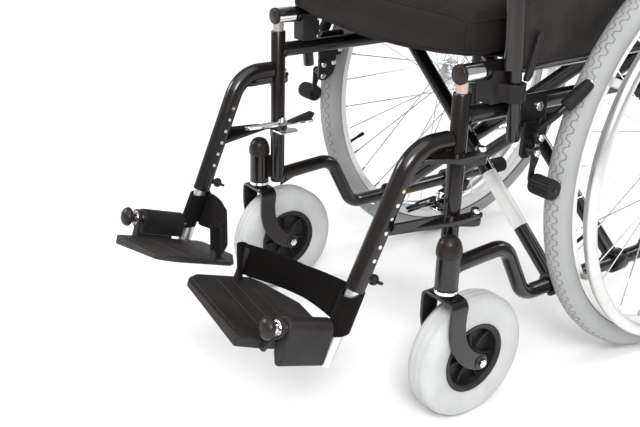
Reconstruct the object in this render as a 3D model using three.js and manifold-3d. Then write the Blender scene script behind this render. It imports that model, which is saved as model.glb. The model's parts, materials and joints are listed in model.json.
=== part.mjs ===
// Folding manual wheelchair with swing-away footrests, lift-out armrests and a double cross brace.
// Millimetres, +Z up, +X to the occupant's left, -Y forwards. The wheels stand on z = 0.
import * as THREE from 'three';
import { mergeVertices } from 'three/addons/utils/BufferGeometryUtils.js';
import Module from 'manifold-3d';

const wasm = await Module();
wasm.setup();

// ---------------------------------------------------------------- driving dimensions
const GAP = 0.4; // running and assembly gap between separate pieces
const TUBE_R = 11; // frame tube, 22 mm outside
const HALF_TRACK = 198; // side frame plane to the middle of the chair

const POST_TOP = 437; // front post, axis at y = 0
const POST_BOTTOM = 198;
const POST_BORE_R = 8.6;
const POST_BORE_BOTTOM = 206;

const UPPER_RAIL_Z = 408; // upper side rail
const LOWER_RAIL_FRONT_Z = 208; // lower side rail where it meets the post
const LOWER_RAIL_Z = 128; // lower side rail under the seat
const CROWN_Z = 212; // high point of the lower rail behind the post
const CANE_Y = 425; // rear upright, which carries the backrest
const HANDLE_Z = 915; // push handle axis
const HANDLE_END_Y = 572;
const TIPPING_END_Y = 512; // lower rail end behind the rear upright

const SEAT_RAIL_Z = 459.5;
const SEAT_RAIL_FRONT_Y = 28;
const SEAT_RAIL_BACK_Y = 405;

const WHEEL_R = 305; // 24 inch rear wheel over the tyre
const WHEEL_X = 248;
const TYRE_R = 18;
const RIM_R = 276.5;
const HANDRIM_R = 268;
const HANDRIM_TUBE_R = 9;
const HANDRIM_X = 285;
const SPOKE_COUNT = 36;

const STEM_X = 220; // caster swivel axis
const STEM_Y = -20;
const CASTER_R = 87; // 7 inch caster wheel
const CASTER_HALF_WIDTH = 22;
const CASTER_TRAIL = 45;

const HANGER_X = 196; // swing-away footrest tube
const HANGER_Z = 380;
const HANGER_R = 12.5;
const HANGER_LEAN = 24; // degrees from vertical, foot end forwards
const HANGER_BEND_Y = -67.5;
const HANGER_END_Z = 214;
const HANGER_INWARD = 0.0368; // sideways lean, mm of x for each mm of z
const PIVOT_X = 217; // vertical hinge of the footrest
const PIVOT_Y = 21;

const FOOT_ROD = new THREE.Vector3(187.6, -269.3, 201); // front end of the footplate hinge rod
const FOOT_TILT = 18.4; // degrees, toe end up
const FOOT_ROLL = 8; // degrees, inner edge up

const BAR_SPACING = 26; // the two bars of a crossing pair, measured along y
const CROSS_Y = [214, 350]; // the crossing pairs, at the bars of cross_bar_a

const ARMREST_X = 219.3;
const ARMREST_R = 9.6; // armrest tube
const ARMREST_PIN_R = 8.5; // leg ends, drawn down to enter their receivers
const ARMREST_PIN_TOP_Z = 464; // where the drawn down length starts
const ARMREST_TILT = 6; // degrees, legs leaning forwards
const ARMREST_REF_Z = 440; // height at which the two leg positions are stated
const ARMREST_FRONT_Y = 64.5;
const ARMREST_REAR_Y = 322;
const ARMREST_TOP_Z = 688;
const ARMREST_FRONT_END_Z = 372;
const ARMREST_REAR_END_Z = 386;
const ARMREST_CORNER_R = 38;
const PANEL_BOTTOM_Z = 464;

const deg = THREE.MathUtils.degToRad;
const X_AXIS = new THREE.Vector3(1, 0, 0);
const Y_AXIS = new THREE.Vector3(0, 1, 0);
const Z_AXIS = new THREE.Vector3(0, 0, 1);
const vec = (x, y, z) => new THREE.Vector3(x, y, z);

// ---------------------------------------------------------------- materials
const paint = (color, roughness, metalness) => () =>
  new THREE.MeshStandardMaterial({ color, roughness, metalness });
const blackPaint = paint(0x1d1816, 0.3, 0.4);
const blackSteel = paint(0x141414, 0.4, 0.5);
const chrome = paint(0xd8d8d8, 0.12, 1);
const aluminium = paint(0xc4c6c8, 0.35, 0.9);
const rimSilver = paint(0xdcdcd8, 0.35, 0.6);
const blackPlastic = paint(0x1b1b1c, 0.5, 0);
const greyPlastic = paint(0x3a3735, 0.55, 0);
const blackRubber = paint(0x222222, 0.85, 0);
const tyreRubber = paint(0xa3a8ab, 0.8, 0);
const casterRubber = paint(0xc9ccca, 0.65, 0);
const wovenNylon = paint(0x26211f, 0.9, 0);
const webbing = paint(0x191513, 0.95, 0);
const padSkin = paint(0x1a1a1a, 0.6, 0);

// ---------------------------------------------------------------- solids
function toSolid(geometry) {
  const bare = geometry.index ? geometry.clone() : geometry;
  bare.deleteAttribute('normal');
  bare.deleteAttribute('uv');
  const merged = mergeVertices(bare, 1e-4);
  return new wasm.Manifold(new wasm.Mesh({
    numProp: 3,
    vertProperties: new Float32Array(merged.attributes.position.array),
    triVerts: new Uint32Array(merged.index.array),
  }));
}

function toGeometry(solid) {
  const mesh = solid.getMesh();
  const geometry = new THREE.BufferGeometry();
  geometry.setAttribute('position', new THREE.BufferAttribute(new Float32Array(mesh.vertProperties), 3));
  geometry.setIndex(new THREE.BufferAttribute(new Uint32Array(mesh.triVerts), 1));
  return geometry;
}

function join(geometries) {
  return toGeometry(geometries.map(toSolid).reduce((sum, solid) => sum.add(solid)));
}

function cut(geometry, cutters) {
  return toGeometry(cutters.map(toSolid).reduce((rest, solid) => rest.subtract(solid), toSolid(geometry)));
}

function rod(radius, from, to, sides = 12) {
  const direction = to.clone().sub(from);
  const geometry = new THREE.CylinderGeometry(radius, radius, direction.length(), sides);
  const turn = new THREE.Quaternion().setFromUnitVectors(Y_AXIS, direction.clone().normalize());
  geometry.applyQuaternion(turn);
  const middle = from.clone().add(to).multiplyScalar(0.5);
  return geometry.translate(middle.x, middle.y, middle.z);
}

function block(low, high) {
  const size = high.clone().sub(low);
  const middle = high.clone().add(low).multiplyScalar(0.5);
  return new THREE.BoxGeometry(size.x, size.y, size.z).translate(middle.x, middle.y, middle.z);
}

// A profile of [radius, height] points turned about z, then laid along an axis through a centre.
function turned(profile, axis, centre, sides) {
  const points = profile.map(([r, h]) => new THREE.Vector2(r, h));
  const geometry = new THREE.LatheGeometry(points, sides, Math.PI / sides);
  geometry.applyQuaternion(new THREE.Quaternion().setFromUnitVectors(Y_AXIS, axis));
  return geometry.translate(centre.x, centre.y, centre.z);
}

// A flat outline in the y-z plane, given a thickness along x from xLow.
function sidePlate(outline, xLow, thickness) {
  const shape = new THREE.Shape(outline.map(([y, z]) => new THREE.Vector2(y, z)));
  const geometry = new THREE.ExtrudeGeometry(shape, { depth: thickness, bevelEnabled: false });
  const turn = new THREE.Matrix4().makeBasis(Y_AXIS, Z_AXIS, X_AXIS);
  return geometry.applyMatrix4(turn).translate(xLow, 0, 0);
}

// A flat outline in the x-y plane, given a thickness along z from zLow.
function flatPlate(outline, zLow, thickness) {
  const shape = new THREE.Shape(outline.map(([x, y]) => new THREE.Vector2(x, y)));
  return new THREE.ExtrudeGeometry(shape, { depth: thickness, bevelEnabled: false }).translate(0, 0, zLow);
}

// A flat outline in the x-z plane, given a length along y from yLow.
function frontPlate(outline, yLow, length) {
  const shape = new THREE.Shape(outline.map(([x, z]) => new THREE.Vector2(-x, z)));
  const geometry = new THREE.ExtrudeGeometry(shape, { depth: length, bevelEnabled: false });
  const turn = new THREE.Matrix4().makeBasis(X_AXIS.clone().negate(), Z_AXIS, Y_AXIS);
  return geometry.applyMatrix4(turn).translate(0, yLow, 0);
}

// A path of straight runs and round corners, sampled only where it bends.
class BentPath extends THREE.Curve {
  constructor(corners, radius, stepsPerBend = 6) {
    super();
    this.stations = [];
    const points = corners.map((corner) => vec(...corner));
    this.addStation(points[0], points[1].clone().sub(points[0]).normalize());
    for (let i = 1; i < points.length - 1; i += 1) {
      this.addBend(points[i - 1], points[i], points[i + 1], radius, stepsPerBend);
    }
    const last = points.length - 1;
    this.addStation(points[last], points[last].clone().sub(points[last - 1]).normalize());
  }

  addStation(point, tangent) {
    this.stations.push({ point, tangent });
  }

  addBend(before, corner, after, radius, steps) {
    const inward = corner.clone().sub(before).normalize();
    const outward = after.clone().sub(corner).normalize();
    const angle = inward.angleTo(outward);
    const reach = radius * Math.tan(angle / 2);
    const start = corner.clone().addScaledVector(inward, -reach);
    const side = outward.clone().addScaledVector(inward, -outward.dot(inward)).normalize();
    for (let i = 0; i <= steps; i += 1) {
      const turn = (angle * i) / steps;
      const point = start.clone()
        .addScaledVector(inward, radius * Math.sin(turn))
        .addScaledVector(side, radius * (1 - Math.cos(turn)));
      const tangent = inward.clone().multiplyScalar(Math.cos(turn)).addScaledVector(side, Math.sin(turn));
      this.addStation(point, tangent.normalize());
    }
  }

  get steps() {
    return this.stations.length - 1;
  }

  station(u) {
    return this.stations[Math.round(u * this.steps)];
  }

  getPoint(u) {
    return this.station(u).point.clone();
  }

  getPointAt(u) {
    return this.station(u).point.clone();
  }

  getTangentAt(u) {
    return this.station(u).tangent.clone();
  }
}

function bentTube(radius, path, sides = 12) {
  const section = new THREE.Shape();
  for (let i = 0; i < sides; i += 1) {
    const angle = (2 * Math.PI * (i + 0.5)) / sides;
    const method = i ? 'lineTo' : 'moveTo';
    section[method](radius * Math.cos(angle), radius * Math.sin(angle));
  }
  return new THREE.ExtrudeGeometry(section, { steps: path.steps, extrudePath: path, bevelEnabled: false });
}

// ---------------------------------------------------------------- scene helpers
const chair = new THREE.Group();

function addMesh(name, geometry, material) {
  const mesh = new THREE.Mesh(geometry, material());
  mesh.name = name;
  chair.add(mesh);
  return mesh;
}

function mirrored(geometry) {
  const copy = (geometry.index ? geometry.toNonIndexed() : geometry.clone()).scale(-1, 1, 1);
  const position = copy.attributes.position;
  for (let i = 0; i < position.count; i += 3) {
    const second = vec(position.getX(i + 1), position.getY(i + 1), position.getZ(i + 1));
    position.setXYZ(i + 1, position.getX(i + 2), position.getY(i + 2), position.getZ(i + 2));
    position.setXYZ(i + 2, second.x, second.y, second.z);
  }
  return copy;
}

function addPair(name, geometry, material) {
  addMesh(`${name}_left`, geometry, material);
  addMesh(`${name}_right`, mirrored(geometry), material);
}

// ---------------------------------------------------------------- side frame
function lowerRailPath() {
  return new BentPath([
    [HALF_TRACK, 0, LOWER_RAIL_FRONT_Z],
    [HALF_TRACK, 104, CROWN_Z + 2],
    [HALF_TRACK, 150, LOWER_RAIL_Z],
    [HALF_TRACK, TIPPING_END_Y, LOWER_RAIL_Z],
  ], 32);
}

function canePath() {
  return new BentPath([
    [HALF_TRACK, CANE_Y, LOWER_RAIL_Z],
    [HALF_TRACK, CANE_Y, HANDLE_Z],
    [HALF_TRACK, HANDLE_END_Y, HANDLE_Z],
  ], 45);
}

const HOUSING = { radius: 15, bottom: 195.4, seam: 242, top: 267 };

function casterHousing() {
  const { radius, bottom, seam, top } = HOUSING;
  const profile = [
    [0, bottom], [radius, bottom], [radius, seam], [radius + 1.5, seam + 2],
    [radius + 1, seam + 12], [radius - 4, seam + 21], [0, top],
  ];
  return turned(profile, Z_AXIS, vec(STEM_X, STEM_Y, 0), 16);
}

const BRACKET = { length: 20, thickness: 7, height: 36, middleZ: 221 };

function casterBracket() {
  const across = vec(STEM_X - HALF_TRACK, STEM_Y, 0);
  const plate = new THREE.BoxGeometry(BRACKET.length, BRACKET.thickness, BRACKET.height);
  plate.rotateZ(Math.atan2(across.y, across.x));
  return plate.translate((HALF_TRACK + STEM_X) / 2, STEM_Y / 2, BRACKET.middleZ);
}

const HINGE_PIN = { radius: 4, rise: 14 };

function hingeLug(zLow, zHigh) {
  const lug = flatPlate([
    [HALF_TRACK - 4, -6], [HALF_TRACK + 12, -8], [PIVOT_X + 8, PIVOT_Y - 5],
    [PIVOT_X + 8, PIVOT_Y + 6], [PIVOT_X - 6, PIVOT_Y + 8], [HALF_TRACK - 4, 8],
  ], zLow, zHigh - zLow);
  const top = zHigh + HINGE_PIN.rise;
  const pin = rod(HINGE_PIN.radius, vec(PIVOT_X, PIVOT_Y, zLow), vec(PIVOT_X, PIVOT_Y, top));
  return [lug, pin];
}

const HANGER_EYE = { upper: 361, lower: 281, thickness: 6 };
const LUG_THICKNESS = 9;
const LATCH_PIVOT = { x: 180, y: -4, z: 296 };

const LATCH_PIN = { radius: 2.6, bossRadius: 7, bossDepth: 8, rise: 6 };

function latchBoss() {
  const { x, y, z } = LATCH_PIVOT;
  const low = z - LATCH_PIN.bossDepth;
  const arm = block(vec(x, y - 5, low), vec(HALF_TRACK, y + 5, z - GAP));
  const round = rod(LATCH_PIN.bossRadius, vec(x, y, low), vec(x, y, z - GAP));
  const pin = rod(LATCH_PIN.radius, vec(x, y, z - LATCH_PIN.rise), vec(x, y, z + LATCH_PIN.rise), 8);
  return [arm, round, pin];
}

const REAR_SOCKET = { wall: 2.6, halfLength: 13, below: 16, above: 18 };

function rearArmrestSocket() {
  const y = armrestLegY(ARMREST_REAR_Y, UPPER_RAIL_Z);
  const outside = ARMREST_X + ARMREST_PIN_R + REAR_SOCKET.wall;
  const low = vec(HALF_TRACK, y - REAR_SOCKET.halfLength, UPPER_RAIL_Z - REAR_SOCKET.below);
  const high = vec(outside, y + REAR_SOCKET.halfLength, UPPER_RAIL_Z + REAR_SOCKET.above);
  return block(low, high);
}

const WHEEL_BOSS = { radius: 15, x: 218 };
const AXLE_R = 6;
const AXLE_NUT = { radius: 11, xLow: 276, xHigh: 285 };

function wheelMount() {
  const at = (x) => vec(x, CANE_Y, WHEEL_R);
  return [
    rod(WHEEL_BOSS.radius, at(HALF_TRACK), at(WHEEL_BOSS.x), 16),
    rod(AXLE_R, at(HALF_TRACK), at(AXLE_NUT.xLow + 3)),
    rod(AXLE_NUT.radius, at(AXLE_NUT.xLow), at(AXLE_NUT.xHigh), 6),
  ];
}

function sideFrame() {
  const x = HALF_TRACK;
  const solids = [
    rod(TUBE_R, vec(x, 0, POST_BOTTOM), vec(x, 0, POST_TOP)),
    rod(TUBE_R, vec(x, 0, UPPER_RAIL_Z), vec(x, CANE_Y, UPPER_RAIL_Z)),
    bentTube(TUBE_R, lowerRailPath()),
    bentTube(TUBE_R, canePath()),
    sidePlate([[6, 190], [30, 199], [6, 202]], x - 2, 4),
    casterHousing(),
    casterBracket(),
    ...hingeLug(HANGER_EYE.upper - LUG_THICKNESS, HANGER_EYE.upper - GAP),
    ...hingeLug(HANGER_EYE.lower - LUG_THICKNESS, HANGER_EYE.lower - GAP),
    ...latchBoss(),
    rearArmrestSocket(),
    ...wheelMount(),
  ];
  const bores = [
    rod(POST_BORE_R, vec(x, 0, POST_BORE_BOTTOM), vec(x, 0, POST_TOP + 5)),
    armrestLegCutter(ARMREST_REAR_Y),
  ];
  return cut(join(solids), bores);
}

// ---------------------------------------------------------------- armrest
function armrestLegY(yAtReference, z) {
  return yAtReference - (z - ARMREST_REF_Z) * Math.tan(deg(ARMREST_TILT));
}

function onArmrestLeg(yAtReference, z) {
  return vec(ARMREST_X, armrestLegY(yAtReference, z), z);
}

function armrestLegCutter(yAtReference) {
  const low = 340;
  const high = 520;
  return rod(ARMREST_PIN_R + GAP + 0.1, onArmrestLeg(yAtReference, low), onArmrestLeg(yAtReference, high));
}

function armrestFrame() {
  const corner = (yAtReference, z) => onArmrestLeg(yAtReference, z).toArray();
  const hoop = bentTube(ARMREST_R, new BentPath([
    corner(ARMREST_FRONT_Y, ARMREST_PIN_TOP_Z),
    corner(ARMREST_FRONT_Y, ARMREST_TOP_Z),
    corner(ARMREST_REAR_Y, ARMREST_TOP_Z),
    corner(ARMREST_REAR_Y, ARMREST_PIN_TOP_Z),
  ], ARMREST_CORNER_R, 5));
  const above = ARMREST_PIN_TOP_Z + 5;
  const pin = (y, end) => rod(ARMREST_PIN_R, onArmrestLeg(y, end), onArmrestLeg(y, above));
  return join([hoop, pin(ARMREST_FRONT_Y, ARMREST_FRONT_END_Z), pin(ARMREST_REAR_Y, ARMREST_REAR_END_Z)]);
}

const PAD = { halfLength: 165, halfWidth: 26, corner: 18, middleY: 178, thickness: 26 };

function armrestPad() {
  const outline = [];
  const corners = [[1, 1, 0], [-1, 1, 90], [-1, -1, 180], [1, -1, 270]];
  for (const [sx, sy, start] of corners) {
    for (let i = 0; i <= 3; i += 1) {
      const angle = deg(start + 30 * i);
      const x = sx * (PAD.halfWidth - PAD.corner) + PAD.corner * Math.cos(angle);
      const y = sy * (PAD.halfLength - PAD.corner) + PAD.corner * Math.sin(angle);
      outline.push([ARMREST_X + x, PAD.middleY + y]);
    }
  }
  return flatPlate(outline, ARMREST_TOP_Z + ARMREST_R + GAP, PAD.thickness);
}

const PANEL_THICKNESS = 3;

function sidePanel() {
  const bottom = PANEL_BOTTOM_Z;
  const top = ARMREST_TOP_Z - ARMREST_R - GAP;
  const inset = ARMREST_R / Math.cos(deg(ARMREST_TILT)) + GAP + 0.2;
  const corner = ARMREST_CORNER_R - 6;
  const frontAt = (z) => armrestLegY(ARMREST_FRONT_Y, z) + inset;
  const rearAt = (z) => armrestLegY(ARMREST_REAR_Y, z) - inset;
  return sidePlate([
    [frontAt(bottom), bottom], [rearAt(bottom), bottom],
    [rearAt(top - corner), top - corner], [rearAt(top) - corner, top],
    [frontAt(top) + corner, top], [frontAt(top - corner), top - corner],
  ], ARMREST_X - PANEL_THICKNESS / 2, PANEL_THICKNESS);
}

const ARM_LATCH = { y: 78, z: 452 };

function armrestLatch() {
  const { y, z } = ARM_LATCH;
  return sidePlate([
    [y - 4, z - 4], [y + 2, z - 6], [y + 8, z], [y + 19, z + 44], [y + 17, z + 52],
    [y + 11, z + 52], [y + 3, z + 18],
  ], ARMREST_X + 2, 6);
}

// ---------------------------------------------------------------- seat rail guide and saddle
const SLEEVE_R = 12.5;
const SLEEVE_FRONT_Y = -3.5;
const SPIGOT_R = 9.2;
const SPIGOT_FRONT_Y = 10;
const GUIDE_STEM_BOTTOM = 214;

function seatGuide() {
  const at = (y) => vec(HALF_TRACK, y, SEAT_RAIL_Z);
  const capBack = SLEEVE_FRONT_Y + 0.5;
  const profile = [[0, -10], [9, -8], [SLEEVE_R, -4.5], [SLEEVE_R, capBack], [0, capBack]];
  const cap = turned(profile, Y_AXIS, at(0), 16);
  const sleeve = rod(SLEEVE_R, at(SLEEVE_FRONT_Y), at(SEAT_RAIL_FRONT_Y - GAP), 16);
  const stemR = POST_BORE_R - 0.6;
  const stem = rod(stemR, vec(HALF_TRACK, 0, GUIDE_STEM_BOTTOM), vec(HALF_TRACK, 0, SEAT_RAIL_Z - 6));
  const bore = rod(SPIGOT_R + 0.6, at(SPIGOT_FRONT_Y - 1), at(SEAT_RAIL_FRONT_Y + 5), 16);
  return cut(join([cap, sleeve, stem]), [bore]);
}

const SADDLE = { inside: 13, outside: 12, front: 36, back: 62, rise: 2 };
const LOOP = { front: 44, back: 78, low: 3, high: 26, wall: 3.5 };

function receiver() {
  const x = HALF_TRACK;
  const railTop = UPPER_RAIL_Z + TUBE_R + GAP;
  const saddle = block(
    vec(x - SADDLE.inside, SADDLE.front, railTop),
    vec(x + SADDLE.outside, SADDLE.back, SEAT_RAIL_Z + SADDLE.rise),
  );
  const loop = block(
    vec(x + 4, LOOP.front, railTop + LOOP.low),
    vec(ARMREST_X + ARMREST_PIN_R + LOOP.wall, LOOP.back, railTop + LOOP.high),
  );
  const cradle = rod(TUBE_R + GAP, vec(x, 30, SEAT_RAIL_Z), vec(x, 90, SEAT_RAIL_Z));
  const mouth = block(vec(x - TUBE_R - GAP, 30, SEAT_RAIL_Z), vec(x + TUBE_R + GAP, 90, SEAT_RAIL_Z + 20));
  return cut(join([saddle, loop]), [cradle, mouth, armrestLegCutter(ARMREST_FRONT_Y)]);
}

// ---------------------------------------------------------------- rear wheel
function wheelRing(profile, sides, centre = vec(WHEEL_X, CANE_Y, WHEEL_R)) {
  return turned(profile, X_AXIS, centre, sides);
}

const RING_SIDES = 36;
const FLAT_DROP = Math.cos(Math.PI / RING_SIDES); // a facet, not a corner, stands on the floor

function rearTyre() {
  const profile = [];
  const treadHalfAngle = 18;
  const centreR = WHEEL_R - TYRE_R * Math.cos(deg(treadHalfAngle));
  const steps = 7;
  for (let i = 0; i <= steps; i += 1) {
    const angle = deg(-7 * treadHalfAngle + 2 * treadHalfAngle * i);
    const r = centreR + TYRE_R * Math.cos(angle);
    profile.push([r / FLAT_DROP, TYRE_R * Math.sin(angle)]);
  }
  profile.push([...profile[0]]);
  return wheelRing(profile, RING_SIDES);
}

const SPOKE = { radius: 1.2, flangeR: 21, flangeX: 22, lead: 72 };

function spokes() {
  const list = [];
  for (let i = 0; i < SPOKE_COUNT; i += 1) {
    const side = i % 2 ? 1 : -1;
    const sweep = Math.floor(i / 2) % 2 ? 1 : -1;
    const rimAngle = (2 * Math.PI * (i + 0.5)) / SPOKE_COUNT;
    const hubAngle = rimAngle + sweep * deg(SPOKE.lead);
    const at = (r, angle, x) => vec(WHEEL_X + x, CANE_Y + r * Math.cos(angle), WHEEL_R + r * Math.sin(angle));
    const hubEnd = at(SPOKE.flangeR, hubAngle, side * SPOKE.flangeX + sweep * 2.2);
    const rimEnd = at(RIM_R - 10, rimAngle, side * 3 + sweep * 1.4);
    list.push(rod(SPOKE.radius, hubEnd, rimEnd, 3));
  }
  return list;
}

const RIM_INNER_R = 262;
const RIM_HALF_WIDTH = 11.5;

function rearWheel() {
  const rimOuter = RIM_R - 0.6;
  const rim = wheelRing([
    [RIM_INNER_R, -7], [rimOuter, -RIM_HALF_WIDTH], [rimOuter, RIM_HALF_WIDTH],
    [RIM_INNER_R, 7], [RIM_INNER_R, -7],
  ], RING_SIDES);
  const hub = wheelRing([
    [7, -27], [16, -27], [24, -25.5], [24, -18.5], [13, -17], [13, 17], [24, 18.5], [24, 25.5],
    [16, 27], [7, 27], [7, -27],
  ], 16);
  return join([rim, hub, ...spokes()]);
}

const HANDRIM_TAB = { count: 6, halfWidth: 6 };

function handrim() {
  const ring = [];
  for (let i = 0; i <= 6; i += 1) {
    const angle = deg(60 * i + 30);
    const r = HANDRIM_R + HANDRIM_TUBE_R * Math.cos(angle);
    ring.push([r, HANDRIM_X - WHEEL_X + HANDRIM_TUBE_R * Math.sin(angle)]);
  }
  const solids = [wheelRing(ring, RING_SIDES)];
  for (let i = 0; i < HANDRIM_TAB.count; i += 1) {
    const tab = block(
      vec(WHEEL_X + RIM_HALF_WIDTH + GAP, -HANDRIM_TAB.halfWidth, HANDRIM_R - 2),
      vec(HANDRIM_X, HANDRIM_TAB.halfWidth, HANDRIM_R + 1),
    );
    tab.applyMatrix4(new THREE.Matrix4().makeRotationX((2 * Math.PI * i) / HANDRIM_TAB.count));
    solids.push(tab.translate(0, CANE_Y, WHEEL_R));
  }
  return join(solids);
}

// ---------------------------------------------------------------- caster
const CASTER_AXLE = vec(STEM_X, STEM_Y + CASTER_TRAIL, CASTER_R);
const FORK = {
  inside: 25, plate: 4.5, crownLow: 182, crownHigh: 187, crownHalf: 15, legHalf: 13.5, footHalf: 11.5,
};

function forkLeg(xLow) {
  const start = new THREE.Vector2(STEM_Y, FORK.crownHigh);
  const bend = new THREE.Vector2(STEM_Y - 8, 106);
  const end = new THREE.Vector2(CASTER_AXLE.y, CASTER_R);
  const centreline = new THREE.QuadraticBezierCurve(start, bend, end);
  const steps = 6;
  const front = [];
  const back = [];
  for (let i = 0; i < steps; i += 1) {
    const t = i / steps;
    const point = centreline.getPoint(t);
    const tangent = centreline.getTangent(t);
    const half = FORK.legHalf + (FORK.footHalf - FORK.legHalf) * t;
    front.push([point.x + tangent.y * half, point.y - tangent.x * half]);
    back.unshift([point.x - tangent.y * half, point.y + tangent.x * half]);
  }
  const tip = [];
  const tangent = centreline.getTangent(1);
  const facing = Math.atan2(tangent.y, tangent.x);
  for (let i = 0; i <= 4; i += 1) {
    const angle = facing - Math.PI / 2 + (Math.PI * i) / 4;
    tip.push([end.x + FORK.footHalf * Math.cos(angle), end.y + FORK.footHalf * Math.sin(angle)]);
  }
  return sidePlate([...front, ...tip, ...back], xLow, FORK.plate);
}

function casterFork() {
  const outside = FORK.inside + FORK.plate;
  const crown = block(
    vec(STEM_X - outside, STEM_Y - FORK.crownHalf, FORK.crownLow),
    vec(STEM_X + outside, STEM_Y + FORK.crownHalf, FORK.crownHigh),
  );
  const collarTop = HOUSING.bottom - GAP;
  const collar = rod(13, vec(STEM_X, STEM_Y, FORK.crownHigh - 1), vec(STEM_X, STEM_Y, collarTop), 16);
  const onAxle = (x) => vec(STEM_X + x, CASTER_AXLE.y, CASTER_R);
  const axle = rod(4, onAxle(-outside - 3), onAxle(outside + 3));
  const heads = [-1, 1].map((side) => rod(7, onAxle(side * (outside - 1)), onAxle(side * (outside + 5)), 6));
  const legs = [forkLeg(STEM_X - outside), forkLeg(STEM_X + FORK.inside)];
  return join([crown, collar, axle, ...heads, ...legs]);
}

const CASTER_SIDES = 24;
const HUB_R = 49;

function casterTyre() {
  const drop = Math.cos(Math.PI / CASTER_SIDES);
  const w = CASTER_HALF_WIDTH;
  const tread = CASTER_R / drop;
  const profile = [
    [HUB_R + GAP, -18], [60, -w], [75, -w], [tread - 3.5, -16], [tread, -9], [tread, 9],
    [tread - 3.5, 16], [75, w], [60, w], [HUB_R + GAP, 18], [HUB_R + GAP, -18],
  ];
  return wheelRing(profile, CASTER_SIDES, CASTER_AXLE);
}

const HUB = { inner: 41, bore: 4.6, bossR: 12, bossHalf: 22, ribCount: 7, ribHalf: 1.7 };

function casterHub() {
  const { inner, bore, bossR, bossHalf } = HUB;
  const ring = wheelRing([
    [inner, -16], [HUB_R, -17.5], [HUB_R, 17.5], [inner, 16], [inner, -16],
  ], CASTER_SIDES, CASTER_AXLE);
  const boss = wheelRing([
    [bore, -bossHalf], [bossR, -bossHalf], [bossR + 1, 0],
    [bossR, bossHalf], [bore, bossHalf], [bore, -bossHalf],
  ], 12, CASTER_AXLE);
  const ribs = [];
  for (let i = 0; i < HUB.ribCount; i += 1) {
    const rib = block(vec(-9, -HUB.ribHalf, bossR - 1), vec(9, HUB.ribHalf, inner + 2));
    rib.applyMatrix4(new THREE.Matrix4().makeRotationX((2 * Math.PI * i) / HUB.ribCount));
    ribs.push(rib.translate(CASTER_AXLE.x, CASTER_AXLE.y, CASTER_AXLE.z));
  }
  return join([ring, boss, ...ribs]);
}

// ---------------------------------------------------------------- swing-away footrest
const LEAN_SLOPE = Math.tan(deg(HANGER_LEAN));

function onHanger(z) {
  const drop = HANGER_Z - z;
  return vec(HANGER_X - drop * HANGER_INWARD, HANGER_BEND_Y - drop * LEAN_SLOPE, z);
}

function hangerArm(zLow, thickness, front, width) {
  const inner = PIVOT_X - 5;
  return flatPlate([
    [front.x - width, front.y - 6], [front.x + width, front.y - 8], [inner + 13, -22],
    [PIVOT_X + 9, PIVOT_Y - 4], [PIVOT_X + 6, PIVOT_Y + 8], [PIVOT_X - 5, PIVOT_Y + 8],
    [inner - 1, PIVOT_Y - 6], [inner - 1, -14], [front.x - width, front.y + 10],
  ], zLow, thickness);
}

const LEG_BORE_R = 10;
const HANGER_CORNER_R = 50;
const HEIGHT_HOLES = { count: 6, pitch: 17.8, radius: 2.8, firstZ: 334 };

function heightHoles() {
  const drop = HEIGHT_HOLES.pitch * Math.cos(deg(HANGER_LEAN));
  const holes = [];
  for (let i = 0; i < HEIGHT_HOLES.count; i += 1) {
    const centre = onHanger(HEIGHT_HOLES.firstZ - i * drop);
    const half = vec(20, 0, 0);
    holes.push(rod(HEIGHT_HOLES.radius, centre.clone().sub(half), centre.clone().add(half), 6));
  }
  return holes;
}

function hanger() {
  const end = onHanger(HANGER_END_Z);
  const tube = bentTube(HANGER_R, new BentPath([
    [HANGER_X, -14.5, HANGER_Z],
    [HANGER_X, HANGER_BEND_Y, HANGER_Z],
    end.toArray(),
  ], HANGER_CORNER_R, 7));
  const upperArm = hangerArm(HANGER_EYE.upper, HANGER_EYE.thickness, vec(HANGER_X, -52, 0), 9);
  const lowerZ = HANGER_EYE.lower;
  const lowerArm = hangerArm(lowerZ, HANGER_EYE.thickness, onHanger(lowerZ), 9);
  const rib = sidePlate([
    [-100, lowerZ], [-100, lowerZ + 16], [-26, lowerZ + 12], [-26, lowerZ],
  ], PIVOT_X - 7, 4);
  const web = block(vec(HANGER_X - 8, -46, HANGER_EYE.upper), vec(HANGER_X + 8, -16, HANGER_Z - 8));
  const bore = rod(LEG_BORE_R, onHanger(HANGER_END_Z - 5), onHanger(352));
  const eyeBores = [HANGER_EYE.upper, lowerZ].map((z) => (
    rod(HINGE_PIN.radius + 0.5, vec(PIVOT_X, PIVOT_Y, z - 5), vec(PIVOT_X, PIVOT_Y, z + 15))
  ));
  return cut(join([tube, upperArm, lowerArm, rib, web]), [bore, ...eyeBores, ...heightHoles()]);
}

function hangerLatch() {
  const { x, y, z } = LATCH_PIVOT;
  const plate = flatPlate([
    [x - 6, y - 8], [x + 2, y - 60], [x + 10, y - 62], [x + 6, y - 8], [x + 5, y + 6],
    [x - 1, y + 48], [x - 14, y + 50], [x - 11, y + 26], [x - 6, y + 8],
  ], z, 4);
  const pinHole = rod(LATCH_PIN.radius + 0.5, vec(x, y, z - 3), vec(x, y, z + 8), 8);
  return cut(plate, [pinHole]);
}

// The footplate's own frame: x outwards, y back along the hinge rod, z up from the rod.
function toFoot(geometry, roll = 0) {
  geometry.rotateY(deg(roll));
  geometry.rotateX(-deg(FOOT_TILT));
  return geometry.translate(FOOT_ROD.x, FOOT_ROD.y, FOOT_ROD.z);
}

const LEG_R = 9.4;
const LEG_LOW_Z = 122;
const LEG_HIGH_Z = 330;
const ROD_R = 8;
const ROD_LENGTH = 112;

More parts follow.
